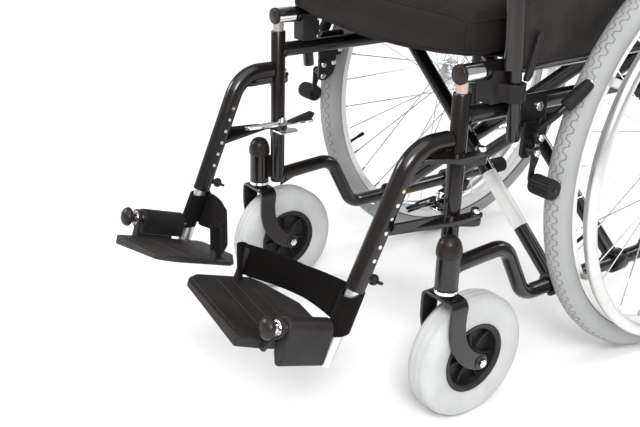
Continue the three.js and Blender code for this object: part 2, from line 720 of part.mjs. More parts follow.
function legExtension() {
  const tube = rod(LEG_R, onHanger(LEG_LOW_Z), onHanger(LEG_HIGH_Z));
  const hingeRod = toFoot(rod(ROD_R, vec(0, 4, 0), vec(0, ROD_LENGTH, 0)));
  const cap = toFoot(turned([
    [0, -1], [7, 0.5], [13.5, 5], [14, 8], [11, 11], [ROD_R, 12], [0, 12],
  ], Y_AXIS, vec(0, 0, 0), 16));
  return join([tube, hingeRod, cap]);
}

const PLATE_TOP = -23.5;
const PLATE_THICKNESS = 14;
const LUG = { front: 14, back: 25 };

function footplate() {
  const bottom = PLATE_TOP - PLATE_THICKNESS;
  const plate = flatPlate([
    [-18, -14], [-140, -18], [-162, 5], [-162, 88], [-100, 131], [-18, 131], [-12, 122], [-12, 27],
  ], bottom, PLATE_THICKNESS);
  const taper = frontPlate([
    [-70, bottom - 1], [-70, bottom], [-170, PLATE_TOP - 4], [-170, bottom - 1],
  ], -30, 180);
  const lug = block(vec(-12.5, LUG.front, bottom), vec(2, LUG.back, 0));
  const foot = block(vec(-26, LUG.front, bottom), vec(-8, LUG.back + 2, PLATE_TOP - 4));
  const eye = rod(12.5, vec(0, LUG.front, 0), vec(0, LUG.back, 0), 16);
  const strapPost = rod(5, vec(-154, 62, PLATE_TOP - 3), vec(-154, 62, 22), 10);
  const bore = rod(ROD_R + GAP + 0.2, vec(0, 8, 0), vec(0, 32, 0), 16);
  return toFoot(cut(join([plate, lug, foot, eye, strapPost]), [bore, taper]), FOOT_ROLL);
}

const COVER = { half: 14, bottom: -43, front: 29, length: 66 };

function footCover() {
  const outline = [];
  const { half, bottom } = COVER;
  for (let i = 0; i <= 6; i += 1) {
    const angle = (Math.PI * i) / 6;
    outline.push([half * Math.cos(angle), half * Math.sin(angle)]);
  }
  outline.push([-half + 1, -22], [-half + 1, bottom], [half - 6, bottom], [half, bottom + 6]);
  const body = frontPlate(outline, COVER.front, COVER.length);
  const bore = rod(ROD_R + GAP + 0.2, vec(0, 20, 0), vec(0, 105, 0), 16);
  return toFoot(cut(body, [bore]));
}

const STRAP = { low: 152, width: 44, rise: 0.2, levelX: 172 };

function heelStrap() {
  const path = new THREE.QuadraticBezierCurve(
    new THREE.Vector2(172, -142),
    new THREE.Vector2(96, -140),
    new THREE.Vector2(42, -204),
  );
  const outline = [];
  const steps = 8;
  for (const side of [1, -1]) {
    for (let i = 0; i <= steps; i += 1) {
      const t = side > 0 ? i / steps : 1 - i / steps;
      const point = path.getPoint(t);
      const tangent = path.getTangent(t);
      outline.push([point.x - side * tangent.y, point.y + side * tangent.x]);
    }
  }
  const band = flatPlate(outline, STRAP.low, STRAP.width);
  const tilt = new THREE.Matrix4().set(
    1, 0, 0, 0,
    0, 1, 0, 0,
    -STRAP.rise, 0, 1, STRAP.rise * STRAP.levelX,
    0, 0, 0, 1,
  );
  return band.applyMatrix4(tilt);
}

function screwSite() {
  const site = onHanger(HANGER_END_Z + 10);
  return vec(site.x, site.y + (HANGER_R + GAP) / Math.cos(deg(HANGER_LEAN)), site.z);
}

function heightScrew() {
  const neck = turned([[0, 0], [4, 0], [4, 7], [7, 8], [7, 14], [0, 14]], Y_AXIS, vec(0, 0, 0), 10);
  const wings = block(vec(-13, 9, -2), vec(13, 18, 2));
  const screw = join([neck, wings]);
  screw.rotateX(-deg(HANGER_LEAN));
  const site = screwSite();
  return screw.translate(site.x, site.y, site.z);
}

// ---------------------------------------------------------------- parking brake
const BRAKE_X = 229;
const LEVER_PIVOT = { y: 106, z: 374 };
const ARM_PIVOT = { y: 98, z: 356 };
const STUD_R = 3;
const ROLLER = { y: 99, z: 317, r: 13, xLow: 237, xHigh: 271 };

function brakePlate() {
  const clampX = HALF_TRACK + TUBE_R + GAP;
  const inner = clampX + 8;
  const clamp = sidePlate([[86, 384], [128, 384], [132, 392], [132, 424], [90, 424], [86, 418]], clampX, 6);
  const hanging = sidePlate([[89, 346], [102, 344], [118, 356], [122, 390], [90, 390]], clampX + 5.8, 5);
  const bolt = rod(8, vec(clampX + 5, 109, 405), vec(clampX + 10, 109, 405), 6);
  const stud = (pivot, end) => join([
    rod(STUD_R, vec(inner, pivot.y, pivot.z), vec(end, pivot.y, pivot.z), 10),
    rod(2 * STUD_R, vec(inner, pivot.y, pivot.z), vec(BRAKE_X - GAP, pivot.y, pivot.z), 10),
  ]);
  return join([clamp, hanging, bolt, stud(LEVER_PIVOT, BRAKE_X + 5), stud(ARM_PIVOT, BRAKE_X + 8.4)]);
}

// The lever rises from its plate, turns back at a knee and ends in a straight grip.
const LEVER_ROOT = vec(BRAKE_X + 3, LEVER_PIVOT.y + 1, LEVER_PIVOT.z + 19);
const LEVER_KNEE = vec(249, 113, 407);
const LEVER_TIP = vec(262, 145.5, 441.7);
const LEVER_R = 5;
const GRIP = { radius: 9, length: 42, over: 5 };

function brakeLever() {
  const { y, z } = LEVER_PIVOT;
  const root = sidePlate([
    [y - 8, z - 8], [y + 7, z - 8], [y + 10, z + 14], [y + 6, z + 27], [y - 4, z + 27],
  ], BRAKE_X, 4);
  const along = LEVER_TIP.clone().sub(LEVER_KNEE).normalize();
  const rise = rod(LEVER_R, LEVER_ROOT, LEVER_KNEE, 10);
  const shaft = rod(LEVER_R, LEVER_KNEE.clone().addScaledVector(along, -2), LEVER_TIP, 10);
  const eye = rod(STUD_R + GAP, vec(BRAKE_X - 5, y, z), vec(BRAKE_X + 9, y, z), 16);
  return cut(join([root, rise, shaft]), [eye]);
}

function brakeGrip() {
  const along = LEVER_TIP.clone().sub(LEVER_KNEE).normalize();
  const low = LEVER_TIP.clone().addScaledVector(along, GRIP.over - GRIP.length);
  const high = LEVER_TIP.clone().addScaledVector(along, GRIP.over);
  const boreLow = low.clone().addScaledVector(along, -6);
  const boreHigh = LEVER_TIP.clone().addScaledVector(along, 0.6);
  return cut(rod(GRIP.radius, low, high), [rod(LEVER_R + 0.6, boreLow, boreHigh, 10)]);
}

function brakeArm() {
  const { y, z } = ARM_PIVOT;
  const strip = sidePlate([
    [y - 6, z + 7], [y + 6, z + 7], [y + 7, z - 20], [y + 6, z - 52], [y - 5, z - 52],
  ], BRAKE_X + 4.4, 3);
  const eye = rod(STUD_R + GAP, vec(BRAKE_X, y, z), vec(BRAKE_X + 12, y, z), 16);
  const at = (x) => vec(x, ROLLER.y, ROLLER.z);
  const spindle = rod(STUD_R, at(BRAKE_X + 5), at(ROLLER.xHigh + 2), 8);
  return cut(join([strip, spindle]), [eye]);
}

function brakeRoller() {
  const bore = STUD_R + 0.6;
  const { r, xLow, xHigh } = ROLLER;
  const profile = [[bore, xLow], [r, xLow], [r, xHigh], [bore, xHigh], [bore, xLow]];
  return turned(profile, X_AXIS, vec(0, ROLLER.y, ROLLER.z), 16);
}

// ---------------------------------------------------------------- grips and tips
// A rubber sleeve over the end of a frame tube that runs along y.
function tubeSleeve({ radius, startY, wall }, tubeEndY, z) {
  const at = (y) => vec(HALF_TRACK, y, z);
  const sleeve = rod(radius, at(startY), at(tubeEndY + wall), 14);
  const bore = rod(TUBE_R + GAP, at(startY - 5), at(tubeEndY + GAP));
  return cut(sleeve, [bore]);
}

const PUSH_GRIP = { radius: 16, startY: 478, wall: 6 };
const TIP = { radius: 14.5, startY: 486, wall: 5 };

// ---------------------------------------------------------------- cross brace
// Built as the bars that rise from the left lower rail to the right seat rail.
const LOWER_SLEEVE = { radius: 17, halfLength: 12, play: 0.8 };
const CROSS_BOLT_R = 4.8;

function crossBars(yPositions) {
  const low = vec(HALF_TRACK, 0, LOWER_RAIL_Z);
  const high = vec(-HALF_TRACK, 0, SEAT_RAIL_Z);
  const middle = low.clone().add(high).multiplyScalar(0.5);
  const solids = [
    rod(TUBE_R, vec(high.x, SEAT_RAIL_FRONT_Y, high.z), vec(high.x, SEAT_RAIL_BACK_Y, high.z)),
    rod(SPIGOT_R, vec(high.x, SPIGOT_FRONT_Y, high.z), vec(high.x, SEAT_RAIL_FRONT_Y + 2, high.z)),
  ];
  const bores = [];
  for (const y of yPositions) {
    const at = (point) => vec(point.x, y, point.z);
    solids.push(rod(TUBE_R, at(low), at(high)));
    const half = LOWER_SLEEVE.halfLength;
    solids.push(rod(LOWER_SLEEVE.radius, vec(low.x, y - half, low.z), vec(low.x, y + half, low.z), 16));
    bores.push(rod(TUBE_R + LOWER_SLEEVE.play, vec(low.x, y - 20, low.z), vec(low.x, y + 20, low.z), 24));
    bores.push(rod(CROSS_BOLT_R + 0.8, vec(middle.x, y - 20, middle.z), vec(middle.x, y + 20, middle.z)));
  }
  return cut(join(solids), bores);
}

function crossPivot() {
  const z = (LOWER_RAIL_Z + SEAT_RAIL_Z) / 2;
  const front = CROSS_Y[0] - TUBE_R - 1;
  const back = CROSS_Y[1] + BAR_SPACING + TUBE_R + 1;
  return join([
    rod(CROSS_BOLT_R, vec(0, front - 6, z), vec(0, back + 6, z)),
    rod(9, vec(0, front - 7, z), vec(0, front, z), 6),
    rod(9, vec(0, back, z), vec(0, back + 7, z), 6),
  ]);
}

// ---------------------------------------------------------------- upholstery
const SEAT_SAG = 16;
const SLING = { halfWidth: 186, edgeZ: 466, thickness: 3, front: 22, length: 372 };
const CUSHION = { halfWidth: 199, edgeZ: 474, topZ: 526, front: 10, length: 392 };
const BACK = { bow: 18, thickness: 6, bottom: 486, height: 392 };
const CURVE_STEPS = 10;

// Points across the chair along a curve that is furthest from its edges in the middle.
function spread(halfWidth, edge, depth) {
  const points = [];
  for (let i = 0; i <= CURVE_STEPS; i += 1) {
    const s = -1 + (2 * i) / CURVE_STEPS;
    points.push([halfWidth * s, edge + depth * (1 - s * s)]);
  }
  return points;
}

function seatSling() {
  const low = spread(SLING.halfWidth, SLING.edgeZ, -SEAT_SAG);
  const high = spread(SLING.halfWidth, SLING.edgeZ + SLING.thickness, -SEAT_SAG);
  return frontPlate([...low, ...high.reverse()], SLING.front, SLING.length);
}

function seatCushion() {
  const low = spread(CUSHION.halfWidth, CUSHION.edgeZ, -SEAT_SAG);
  const outline = [...low, [CUSHION.halfWidth, CUSHION.topZ], [-CUSHION.halfWidth, CUSHION.topZ]];
  return frontPlate(outline, CUSHION.front, CUSHION.length);
}

function backrest() {
  const half = HALF_TRACK - TUBE_R - 1;
  const front = spread(half, CANE_Y - 3, BACK.bow);
  const back = spread(half, CANE_Y - 3 + BACK.thickness, BACK.bow);
  return flatPlate([...front, ...back.reverse()], BACK.bottom, BACK.height);
}

// ---------------------------------------------------------------- assembly
addPair('side_frame', sideFrame(), blackPaint);
addPair('push_grip', tubeSleeve(PUSH_GRIP, HANDLE_END_Y, HANDLE_Z), blackRubber);
addPair('tipping_tip', tubeSleeve(TIP, TIPPING_END_Y, LOWER_RAIL_Z), blackRubber);
addPair('rail_receiver', receiver(), blackPlastic);
addPair('seat_guide', seatGuide(), chrome);
addPair('rear_tyre', rearTyre(), tyreRubber);
addPair('rear_wheel', rearWheel(), rimSilver);
addPair('handrim', handrim(), aluminium);
addPair('caster_fork', casterFork(), blackPaint);
addPair('caster_tyre', casterTyre(), casterRubber);
addPair('caster_hub', casterHub(), blackPlastic);
addPair('hanger', hanger(), blackPaint);
addPair('hanger_latch', hangerLatch(), blackSteel);
addPair('leg_extension', legExtension(), aluminium);
addPair('footplate', footplate(), greyPlastic);
addPair('foot_cover', footCover(), blackPlastic);
addPair('heel_strap', heelStrap(), webbing);
addPair('height_screw', heightScrew(), blackPlastic);
addPair('brake_plate', brakePlate(), blackSteel);
addPair('brake_lever', brakeLever(), blackSteel);
addPair('brake_grip', brakeGrip(), blackRubber);
addPair('brake_arm', brakeArm(), blackSteel);
addPair('brake_roller', brakeRoller(), blackRubber);
addPair('armrest_frame', armrestFrame(), blackPaint);
addPair('armrest_pad', armrestPad(), padSkin);
addPair('side_panel', sidePanel(), greyPlastic);
addPair('armrest_latch', armrestLatch(), blackPlastic);

addMesh('cross_bar_a', crossBars(CROSS_Y), blackPaint);
addMesh('cross_bar_b', mirrored(crossBars(CROSS_Y.map((y) => y + BAR_SPACING))), blackPaint);
addMesh('cross_pivot', crossPivot(), chrome);
addMesh('seat_sling', seatSling(), wovenNylon);
addMesh('seat_cushion', seatCushion(), wovenNylon);
addMesh('backrest', backrest(), wovenNylon);

// The origin is on the floor under the middle of the chair's box.
const box = new THREE.Box3().setFromObject(chair);
chair.position.set(0, -(box.min.y + box.max.y) / 2, -box.min.z);
chair.updateMatrixWorld(true);

export default chair;
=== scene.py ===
"""Looks of a folding manual wheelchair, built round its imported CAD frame. Lengths are in millimetres."""

import json
import math

import bmesh
import bpy
from mathutils import Matrix, Vector


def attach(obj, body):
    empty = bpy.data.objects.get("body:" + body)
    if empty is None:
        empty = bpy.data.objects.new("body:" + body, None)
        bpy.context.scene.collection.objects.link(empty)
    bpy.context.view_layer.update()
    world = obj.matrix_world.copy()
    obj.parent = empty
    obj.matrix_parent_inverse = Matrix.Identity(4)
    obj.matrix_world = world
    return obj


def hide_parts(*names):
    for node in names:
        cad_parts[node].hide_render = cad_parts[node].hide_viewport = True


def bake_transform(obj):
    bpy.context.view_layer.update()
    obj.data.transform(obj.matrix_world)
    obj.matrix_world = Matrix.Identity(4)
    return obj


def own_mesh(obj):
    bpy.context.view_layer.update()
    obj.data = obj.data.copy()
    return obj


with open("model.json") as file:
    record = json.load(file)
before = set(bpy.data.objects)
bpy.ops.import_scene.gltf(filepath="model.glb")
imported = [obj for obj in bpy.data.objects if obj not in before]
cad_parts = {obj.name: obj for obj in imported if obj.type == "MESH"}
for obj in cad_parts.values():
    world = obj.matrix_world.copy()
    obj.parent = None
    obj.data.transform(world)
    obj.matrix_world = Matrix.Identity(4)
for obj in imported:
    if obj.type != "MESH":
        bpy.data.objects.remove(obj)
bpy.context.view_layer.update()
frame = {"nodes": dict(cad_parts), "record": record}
JOINTS = {j["name"]: j for j in frame["record"]["behaviour"]["joints"]}

MM = 0.001
CANE_Y = 425
HALF_TRACK = 198
TUBE_R = 11
SHIFT_Y = JOINTS["wheel_spin_left"]["pos_m"][1] - CANE_Y * MM
LOWER_RAIL_Z = 128
SIDE_RAIL_Z = 408
SEAT_RAIL_Z = 459.5
HANDLE_Z = 915
WHEEL_X = 248
WHEEL_R = 305
TREAD_COUNT = 112
STEM = Vector((220, -20, 0))
CASTER_AXLE = Vector((220, 25, 87))
SIDES = (("left", 1), ("right", -1))
X, Y, Z = Vector((1, 0, 0)), Vector((0, 1, 0)), Vector((0, 0, 1))


def deg(angle):
    return math.radians(angle)


# ---------------------------------------------------------------- node helpers
class Shader:
    """A Principled material with short names for the nodes that the surfaces here use."""

    def __init__(self, name, roughness=0.5, metallic=0.0, **sockets):
        self.material = bpy.data.materials.new(name)
        self.material.use_nodes = True
        self.tree = self.material.node_tree
        self.bsdf = self.tree.nodes["Principled BSDF"]
        self.bsdf.inputs["Roughness"].default_value = roughness
        self.bsdf.inputs["Metallic"].default_value = metallic
        for key, value in sockets.items():
            self.bsdf.inputs[key.replace("_", " ")].default_value = value
        coordinates = self.tree.nodes.new("ShaderNodeTexCoord")
        self.place = coordinates.outputs["Object"]
        self.normal = coordinates.outputs["Normal"]

    def link(self, source, target):
        self.tree.links.new(source, target)

    def math(self, operation, a, b=0.0):
        node = self.tree.nodes.new("ShaderNodeMath")
        node.operation = operation
        for socket, value in zip(node.inputs, (a, b)):
            if isinstance(value, (int, float)):
                socket.default_value = value
            else:
                self.link(value, socket)
        return node.outputs[0]

    def noise(self, scale, detail=4.0, rough=0.55, stretch=(1, 1, 1)):
        place = self.place
        if stretch != (1, 1, 1):
            mapping = self.tree.nodes.new("ShaderNodeMapping")
            mapping.inputs["Scale"].default_value = stretch
            self.link(place, mapping.inputs["Vector"])
            place = mapping.outputs[0]
        node = self.tree.nodes.new("ShaderNodeTexNoise")
        node.inputs["Scale"].default_value = scale
        node.inputs["Detail"].default_value = detail
        node.inputs["Roughness"].default_value = rough
        self.link(place, node.inputs["Vector"])
        return node.outputs["Fac"]

    def cells(self, scale, feature="F1"):
        node = self.tree.nodes.new("ShaderNodeTexVoronoi")
        node.feature = feature
        node.inputs["Scale"].default_value = scale
        self.link(self.place, node.inputs["Vector"])
        return node.outputs["Distance"]

    def ramp(self, factor, stops):
        node = self.tree.nodes.new("ShaderNodeValToRGB")
        while len(node.color_ramp.elements) < len(stops):
            node.color_ramp.elements.new(0.5)
        for element, (position, color) in zip(node.color_ramp.elements, stops):
            element.position = position
            element.color = (*color, 1.0)
        self.link(factor, node.inputs[0])
        return node.outputs[0]

    def color(self, factor, stops):
        self.link(self.ramp(factor, stops), self.bsdf.inputs["Base Color"])

    def vary_roughness(self, factor, low, high):
        spread = self.math("MULTIPLY", factor, high - low)
        self.link(self.math("ADD", spread, low), self.bsdf.inputs["Roughness"])

    def bump(self, height, distance, strength=0.5):
        node = self.tree.nodes.new("ShaderNodeBump")
        node.inputs["Strength"].default_value = strength
        node.inputs["Distance"].default_value = distance
        self.link(height, node.inputs["Height"])
        if self.bsdf.inputs["Normal"].is_linked:
            self.link(self.bsdf.inputs["Normal"].links[0].from_socket, node.inputs["Normal"])
        self.link(node.outputs[0], self.bsdf.inputs["Normal"])

    def weave(self, pitch):
        """Over and under threads on whichever pair of axes the surface faces."""
        split = self.tree.nodes.new("ShaderNodeSeparateXYZ")
        self.link(self.place, split.inputs[0])
        facing = self.tree.nodes.new("ShaderNodeSeparateXYZ")
        self.link(self.normal, facing.inputs[0])
        turns = 2 * math.pi / pitch
        waves = [self.math("SINE", self.math("MULTIPLY", axis, turns)) for axis in split.outputs]
        weights = [self.math("POWER", self.math("ABSOLUTE", axis), 2.0) for axis in facing.outputs]
        total = None
        for i in range(3):
            crossing = self.math("MULTIPLY", waves[(i + 1) % 3], waves[(i + 2) % 3])
            part = self.math("MULTIPLY", crossing, weights[i])
            total = part if total is None else self.math("ADD", total, part)
        return self.math("ADD", self.math("MULTIPLY", total, 0.5), 0.5)


def powder_coat():
    s = Shader("powder_coat", roughness=0.26, Coat_Weight=0.25, Coat_Roughness=0.1, Specular_IOR_Level=0.34)
    s.color(s.noise(9, 5), [(0.3, (0.0046, 0.0036, 0.0031)), (0.75, (0.0092, 0.0068, 0.0056))])
    s.vary_roughness(s.noise(60, 6), 0.16, 0.3)
    s.bump(s.noise(900, 2), 0.0002, 0.12)
    return s.material


def black_steel():
    s = Shader("black_steel", metallic=0.1, Coat_Weight=0.1, Specular_IOR_Level=0.26)
    s.color(s.noise(40), [(0.35, (0.0045, 0.0038, 0.0035)), (0.8, (0.0105, 0.009, 0.0083))])
    s.vary_roughness(s.noise(150, 6), 0.26, 0.46)
    s.bump(s.noise(1200, 2), 0.0002, 0.15)
    return s.material


def chrome():
    s = Shader("bright_chrome", metallic=1.0)
    s.color(s.noise(25), [(0.3, (0.72, 0.72, 0.73)), (0.8, (0.86, 0.86, 0.86))])
    s.vary_roughness(s.noise(220, 6), 0.06, 0.2)
    s.bump(s.noise(500, 3), 0.0001, 0.12)
    return s.material


def copper_stem():
    s = Shader("coppery_stem", metallic=1.0)
    s.color(s.noise(30), [(0.3, (0.38, 0.3, 0.25)), (0.8, (0.56, 0.48, 0.42))])
    s.vary_roughness(s.noise(260, 6, stretch=(1, 1, 0.1)), 0.18, 0.34)
    return s.material


def brass():
    s = Shader("brass_pin", metallic=1.0)
    s.color(s.noise(60), [(0.3, (0.6, 0.42, 0.16)), (0.8, (0.78, 0.6, 0.28))])
    s.vary_roughness(s.noise(260, 6), 0.18, 0.32)
    return s.material


def satin_aluminium(name="satin_aluminium", low=(0.62, 0.63, 0.65), high=(0.78, 0.79, 0.8)):
    s = Shader(name, metallic=0.95)
    s.color(s.noise(18), [(0.3, low), (0.8, high)])
    s.vary_roughness(s.noise(300, 6), 0.24, 0.4)
    s.bump(s.noise(1500, 2), 0.0001, 0.2)
    return s.material


def rim_silver():
    s = Shader("rim_silver", metallic=0.25, Coat_Weight=0.3)
    s.color(s.noise(14), [(0.3, (0.66, 0.66, 0.64)), (0.8, (0.78, 0.78, 0.75))])
    s.vary_roughness(s.noise(90, 5), 0.26, 0.42)
    return s.material


def rubber(name, low, high, grain=700, rough=(0.55, 0.8)):
    s = Shader(name, Specular_IOR_Level=0.25)
    s.color(s.noise(22, 6), [(0.3, low), (0.75, high)])
    s.vary_roughness(s.noise(120, 5), *rough)
    s.bump(s.noise(grain, 4), 0.0004, 0.35)
    return s.material


def groove_bump_and_shade(s, offsets, amplitude, width):
    """1 in the meandering grooves that run round the tyre: the bump of the grooves, and the painted shade
    that darkens them. Works in metres on the wheel's own coordinates.
    """
    split = s.tree.nodes.new("ShaderNodeSeparateXYZ")
    s.link(s.place, split.inputs[0])
    across = s.math("SUBTRACT", s.math("ABSOLUTE", split.outputs[0]), WHEEL_X * MM)
    back = s.math("SUBTRACT", split.outputs[1], CANE_Y * MM + SHIFT_Y)
    rise = s.math("SUBTRACT", split.outputs[2], WHEEL_R * MM)
    phase = s.math("MULTIPLY", s.math("ARCTAN2", rise, back), TREAD_COUNT)
    steep = s.math("MULTIPLY", s.math("SINE", phase), 1.7)
    wave = s.math("MAXIMUM", s.math("MINIMUM", steep, 1.0), -1.0)
    turn = s.math("MULTIPLY", s.math("COSINE", phase), 1.7 * TREAD_COUNT / (WHEEL_R * MM))
    slope = s.math("SQRT", s.math("ADD", s.math("MULTIPLY", turn, turn), 1 / amplitude ** 2))
    total = None
    for offset in offsets:
        place = s.math("MULTIPLY", s.math("SUBTRACT", across, offset), 1 / amplitude)
        gap = s.math("DIVIDE", s.math("ABSOLUTE", s.math("SUBTRACT", place, wave)), slope)
        line = s.math("MAXIMUM", s.math("SUBTRACT", 1.0, s.math("MULTIPLY", gap, 1 / width)), 0.0)
        total = line if total is None else s.math("MAXIMUM", total, line)
    return total


def grey_tyre():
    s = Shader("grey_tyre", Specular_IOR_Level=0.25)
    grooves_and_shade = groove_bump_and_shade(s, (-0.0092, -0.0005, 0.0082), 0.0026, 0.001)
    clouds = s.math("MULTIPLY", s.noise(22, 6), 0.4)
    # Painted shade: the tyre colour is darkened in the tread grooves, where shade falls; the grooves
    # themselves are only a bump.
    shade = s.math("SUBTRACT", s.math("ADD", clouds, 0.5), s.math("MULTIPLY", grooves_and_shade, 0.62))
    s.color(shade, [(0.05, (0.1, 0.1, 0.098)), (0.45, (0.265, 0.268, 0.268)), (0.85, (0.345, 0.35, 0.352))])
    s.vary_roughness(s.noise(120, 5), 0.55, 0.8)
    s.bump(s.math("SUBTRACT", 1.0, grooves_and_shade), 0.0006, 0.6)
    s.bump(s.noise(700, 4), 0.0003, 0.3)
    return s.material


def plastic(name, low, high, grain=420, rough=(0.36, 0.55), depth=0.0003):
    s = Shader(name, Specular_IOR_Level=0.2)
    s.color(s.noise(30, 6), [(0.3, low), (0.8, high)])
    s.vary_roughness(s.noise(140, 5), *rough)
    s.bump(s.cells(grain), depth, 0.4)
    return s.material


def nylon():
    s = Shader("woven_nylon", roughness=0.72, Sheen_Weight=0.02, Sheen_Roughness=0.45,
               Specular_IOR_Level=0.1)
    threads = s.weave(0.0016)
    mixed = s.math("ADD", s.math("MULTIPLY", threads, 0.35), s.math("MULTIPLY", s.noise(12, 6), 0.65))
    s.color(mixed, [(0.3, (0.0092, 0.0068, 0.0063)), (0.75, (0.0215, 0.0165, 0.0155))])
    s.bump(s.noise(38, 4), 0.0016, 0.35)
    s.bump(threads, 0.0004, 0.6)
    return s.material


def webbing():
    s = Shader("webbing", roughness=0.85, Sheen_Weight=0.02, Specular_IOR_Level=0.08)
    threads = s.weave(0.0024)
    mixed = s.math("ADD", s.math("MULTIPLY", threads, 0.5), s.math("MULTIPLY", s.noise(35, 6), 0.5))
    s.color(mixed, [(0.3, (0.003, 0.0023, 0.0021)), (0.75, (0.0082, 0.0066, 0.006))])
    s.bump(s.noise(160, 3), 0.0006, 0.3)
    s.bump(threads, 0.0006, 0.8)
    return s.material


def label_paper():
    s = Shader("plain_label", roughness=0.35)
    s.color(s.noise(45), [(0.3, (0.74, 0.74, 0.73)), (0.8, (0.84, 0.84, 0.83))])
    s.bump(s.noise(260), 0.0001, 0.3)
    return s.material


MAT = {
    "frame": powder_coat(),
    "steel": black_steel(),
    "chrome": chrome(),
    "copper": copper_stem(),
    "brass": brass(),
    "aluminium": satin_aluminium(),
    "handrim": satin_aluminium("satin_handrim", (0.56, 0.56, 0.55), (0.7, 0.7, 0.69)),
    "rim": rim_silver(),
    "bead": rubber("bead_line", (0.03, 0.03, 0.03), (0.06, 0.06, 0.06)),
    "tyre": grey_tyre(),
    "caster": rubber("pale_caster", (0.4, 0.41, 0.405), (0.5, 0.51, 0.5), 500, (0.42, 0.62)),
    "rubber": rubber("black_rubber", (0.0062, 0.0057, 0.0054), (0.014, 0.0128, 0.0122)),
    "plastic": plastic("black_plastic", (0.0115, 0.0105, 0.0101), (0.0235, 0.0218, 0.0212)),
    "plate": plastic("plate_plastic", (0.0135, 0.0115, 0.0107), (0.0255, 0.0222, 0.021), 300, (0.42, 0.62),
                     0.0004),
    "cap": plastic("brown_cap", (0.013, 0.0102, 0.009), (0.027, 0.0212, 0.0185), 500, (0.22, 0.4)),
    "pad": plastic("pad_skin", (0.008, 0.008, 0.008), (0.016, 0.016, 0.016), 620, (0.45, 0.62), 0.0006),
    "nylon": nylon(),
    "webbing": webbing(),
    "label": label_paper(),
}


# ---------------------------------------------------------------- mesh helpers
def oriented(axis):
    """Turns +Z onto the given direction."""
    return Z.rotation_difference(Vector(axis)).to_matrix().to_4x4()


def add_lathe(bm, profile, centre, axis, segments=48, closed=False):
    """Turns (radius, height) points about an axis. A closed profile is a ring."""
    turn = Matrix.Translation(centre) @ oriented(axis)
    rings = []
    for radius, height in profile:
        if radius < 1e-6:
            rings.append([bm.verts.new(turn @ Vector((0, 0, height)))])
            continue
        ring = []
        for i in range(segments):
            angle = 2 * math.pi * (i + 0.5) / segments
            place = Vector((radius * math.cos(angle), radius * math.sin(angle), height))
            ring.append(bm.verts.new(turn @ place))
        rings.append(ring)
    pairs = list(zip(rings, rings[1:]))
    if closed:
        pairs.append((rings[-1], rings[0]))
    for a, b in pairs:
        join_rings(bm, a, b, segments)


def join_rings(bm, a, b, segments):
    if len(a) == 1 and len(b) == 1:
        return
    for i in range(segments):
        k = (i + 1) % segments
        if len(a) == 1:
            bm.faces.new((a[0], b[k], b[i]))
        elif len(b) == 1:
            bm.faces.new((a[i], a[k], b[0]))
        else:
            bm.faces.new((a[i], a[k], b[k], b[i]))


def add_skin(bm, rings):
    """Joins rings of vertices in their order, and closes both ends."""
    for a, b in zip(rings, rings[1:]):
        join_rings(bm, a, b, len(a))
    bm.faces.new(list(reversed(rings[0])))
    bm.faces.new(rings[-1])


def bent_path(corners, radius, steps=8):
    """Points along straight runs with round corners."""
    points = [Vector(c) for c in corners]
    path = [points[0]]
    for before, corner, after in zip(points, points[1:], points[2:]):
        inward = (corner - before).normalized()
        outward = (after - corner).normalized()
        angle = inward.angle(outward)
        reach = radius * math.tan(angle / 2)
        start = corner - inward * reach
        side = (outward - inward * outward.dot(inward)).normalized()
        for i in range(steps + 1):
            turn = angle * i / steps
            path.append(start + inward * radius * math.sin(turn) + side * radius * (1 - math.cos(turn)))
    path.append(points[-1])
    return path


def path_frames(path):
    """A tangent and a steady sideways direction at each point of a path."""
    frames = []
    tangents = []
    for i, point in enumerate(path):
        ahead = path[min(i + 1, len(path) - 1)] - point
        behind = point - path[max(i - 1, 0)]
        tangents.append((ahead.normalized() + behind.normalized()).normalized())
    side = tangents[0].orthogonal().normalized()
    for i, tangent in enumerate(tangents):
        if i:
            side = tangents[i - 1].rotation_difference(tangent) @ side
        frames.append((tangent, side.normalized()))
    return frames


def add_tube(bm, path, radius, segments=28):
    """A round bar along a path, closed with flat ends. The radius may be a number or a list."""
    radii = radius if isinstance(radius, list) else [radius] * len(path)
    rings = []
    for point, (tangent, side), r in zip(path, path_frames(path), radii):
        up = tangent.cross(side)
        ring = []
        for i in range(segments):
            angle = 2 * math.pi * i / segments
            ring.append(bm.verts.new(point + side * r * math.cos(angle) + up * r * math.sin(angle)))
        rings.append(ring)
    add_skin(bm, rings)


def add_rod(bm, start, end, radius, segments=28):
    add_tube(bm, [Vector(start), Vector(end)], radius, segments)


PLANES = {
    "x": lambda a, b, depth: Vector((depth, a, b)),
    "y": lambda a, b, depth: Vector((a, depth, b)),
    "z": lambda a, b, depth: Vector((a, b, depth)),
}


def add_prism(bm, outline, plane, low, high):
    """A flat outline given a thickness across the named plane."""
    place = PLANES[plane]
    bottom = [bm.verts.new(place(a, b, low)) for a, b in outline]
    top = [bm.verts.new(place(a, b, high)) for a, b in outline]
    bm.faces.new(bottom)
    bm.faces.new(list(reversed(top)))
    for i in range(len(outline)):
        k = (i + 1) % len(outline)
        bm.faces.new((bottom[i], top[i], top[k], bottom[k]))


def add_block(bm, low, high):
    outline = [(low[0], low[1]), (high[0], low[1]), (high[0], high[1]), (low[0], high[1])]
    add_prism(bm, outline, "z", low[2], high[2])


def add_bolt(bm, centre, axis, radius=5.5, height=3.5):
    """A hexagon head with a washer under it and a dome on top."""
    add_lathe(bm, [(0, 0), (radius * 1.35, 0), (radius * 1.35, 1), (0, 1)], centre, axis, 24)
    add_lathe(bm, [(0, 0.8), (radius, 0.8), (radius, height), (radius * 0.8, height + 0.8),
                   (0, height + 0.8)], centre, axis, 6)


def add_disc(bm, centre, axis, radius, height):
    edge = min(1.0, height * 0.4)
    profile = [(0, 0), (radius, 0), (radius, height - edge), (radius - edge, height), (0, height)]
    add_lathe(bm, profile, centre, axis, 32)


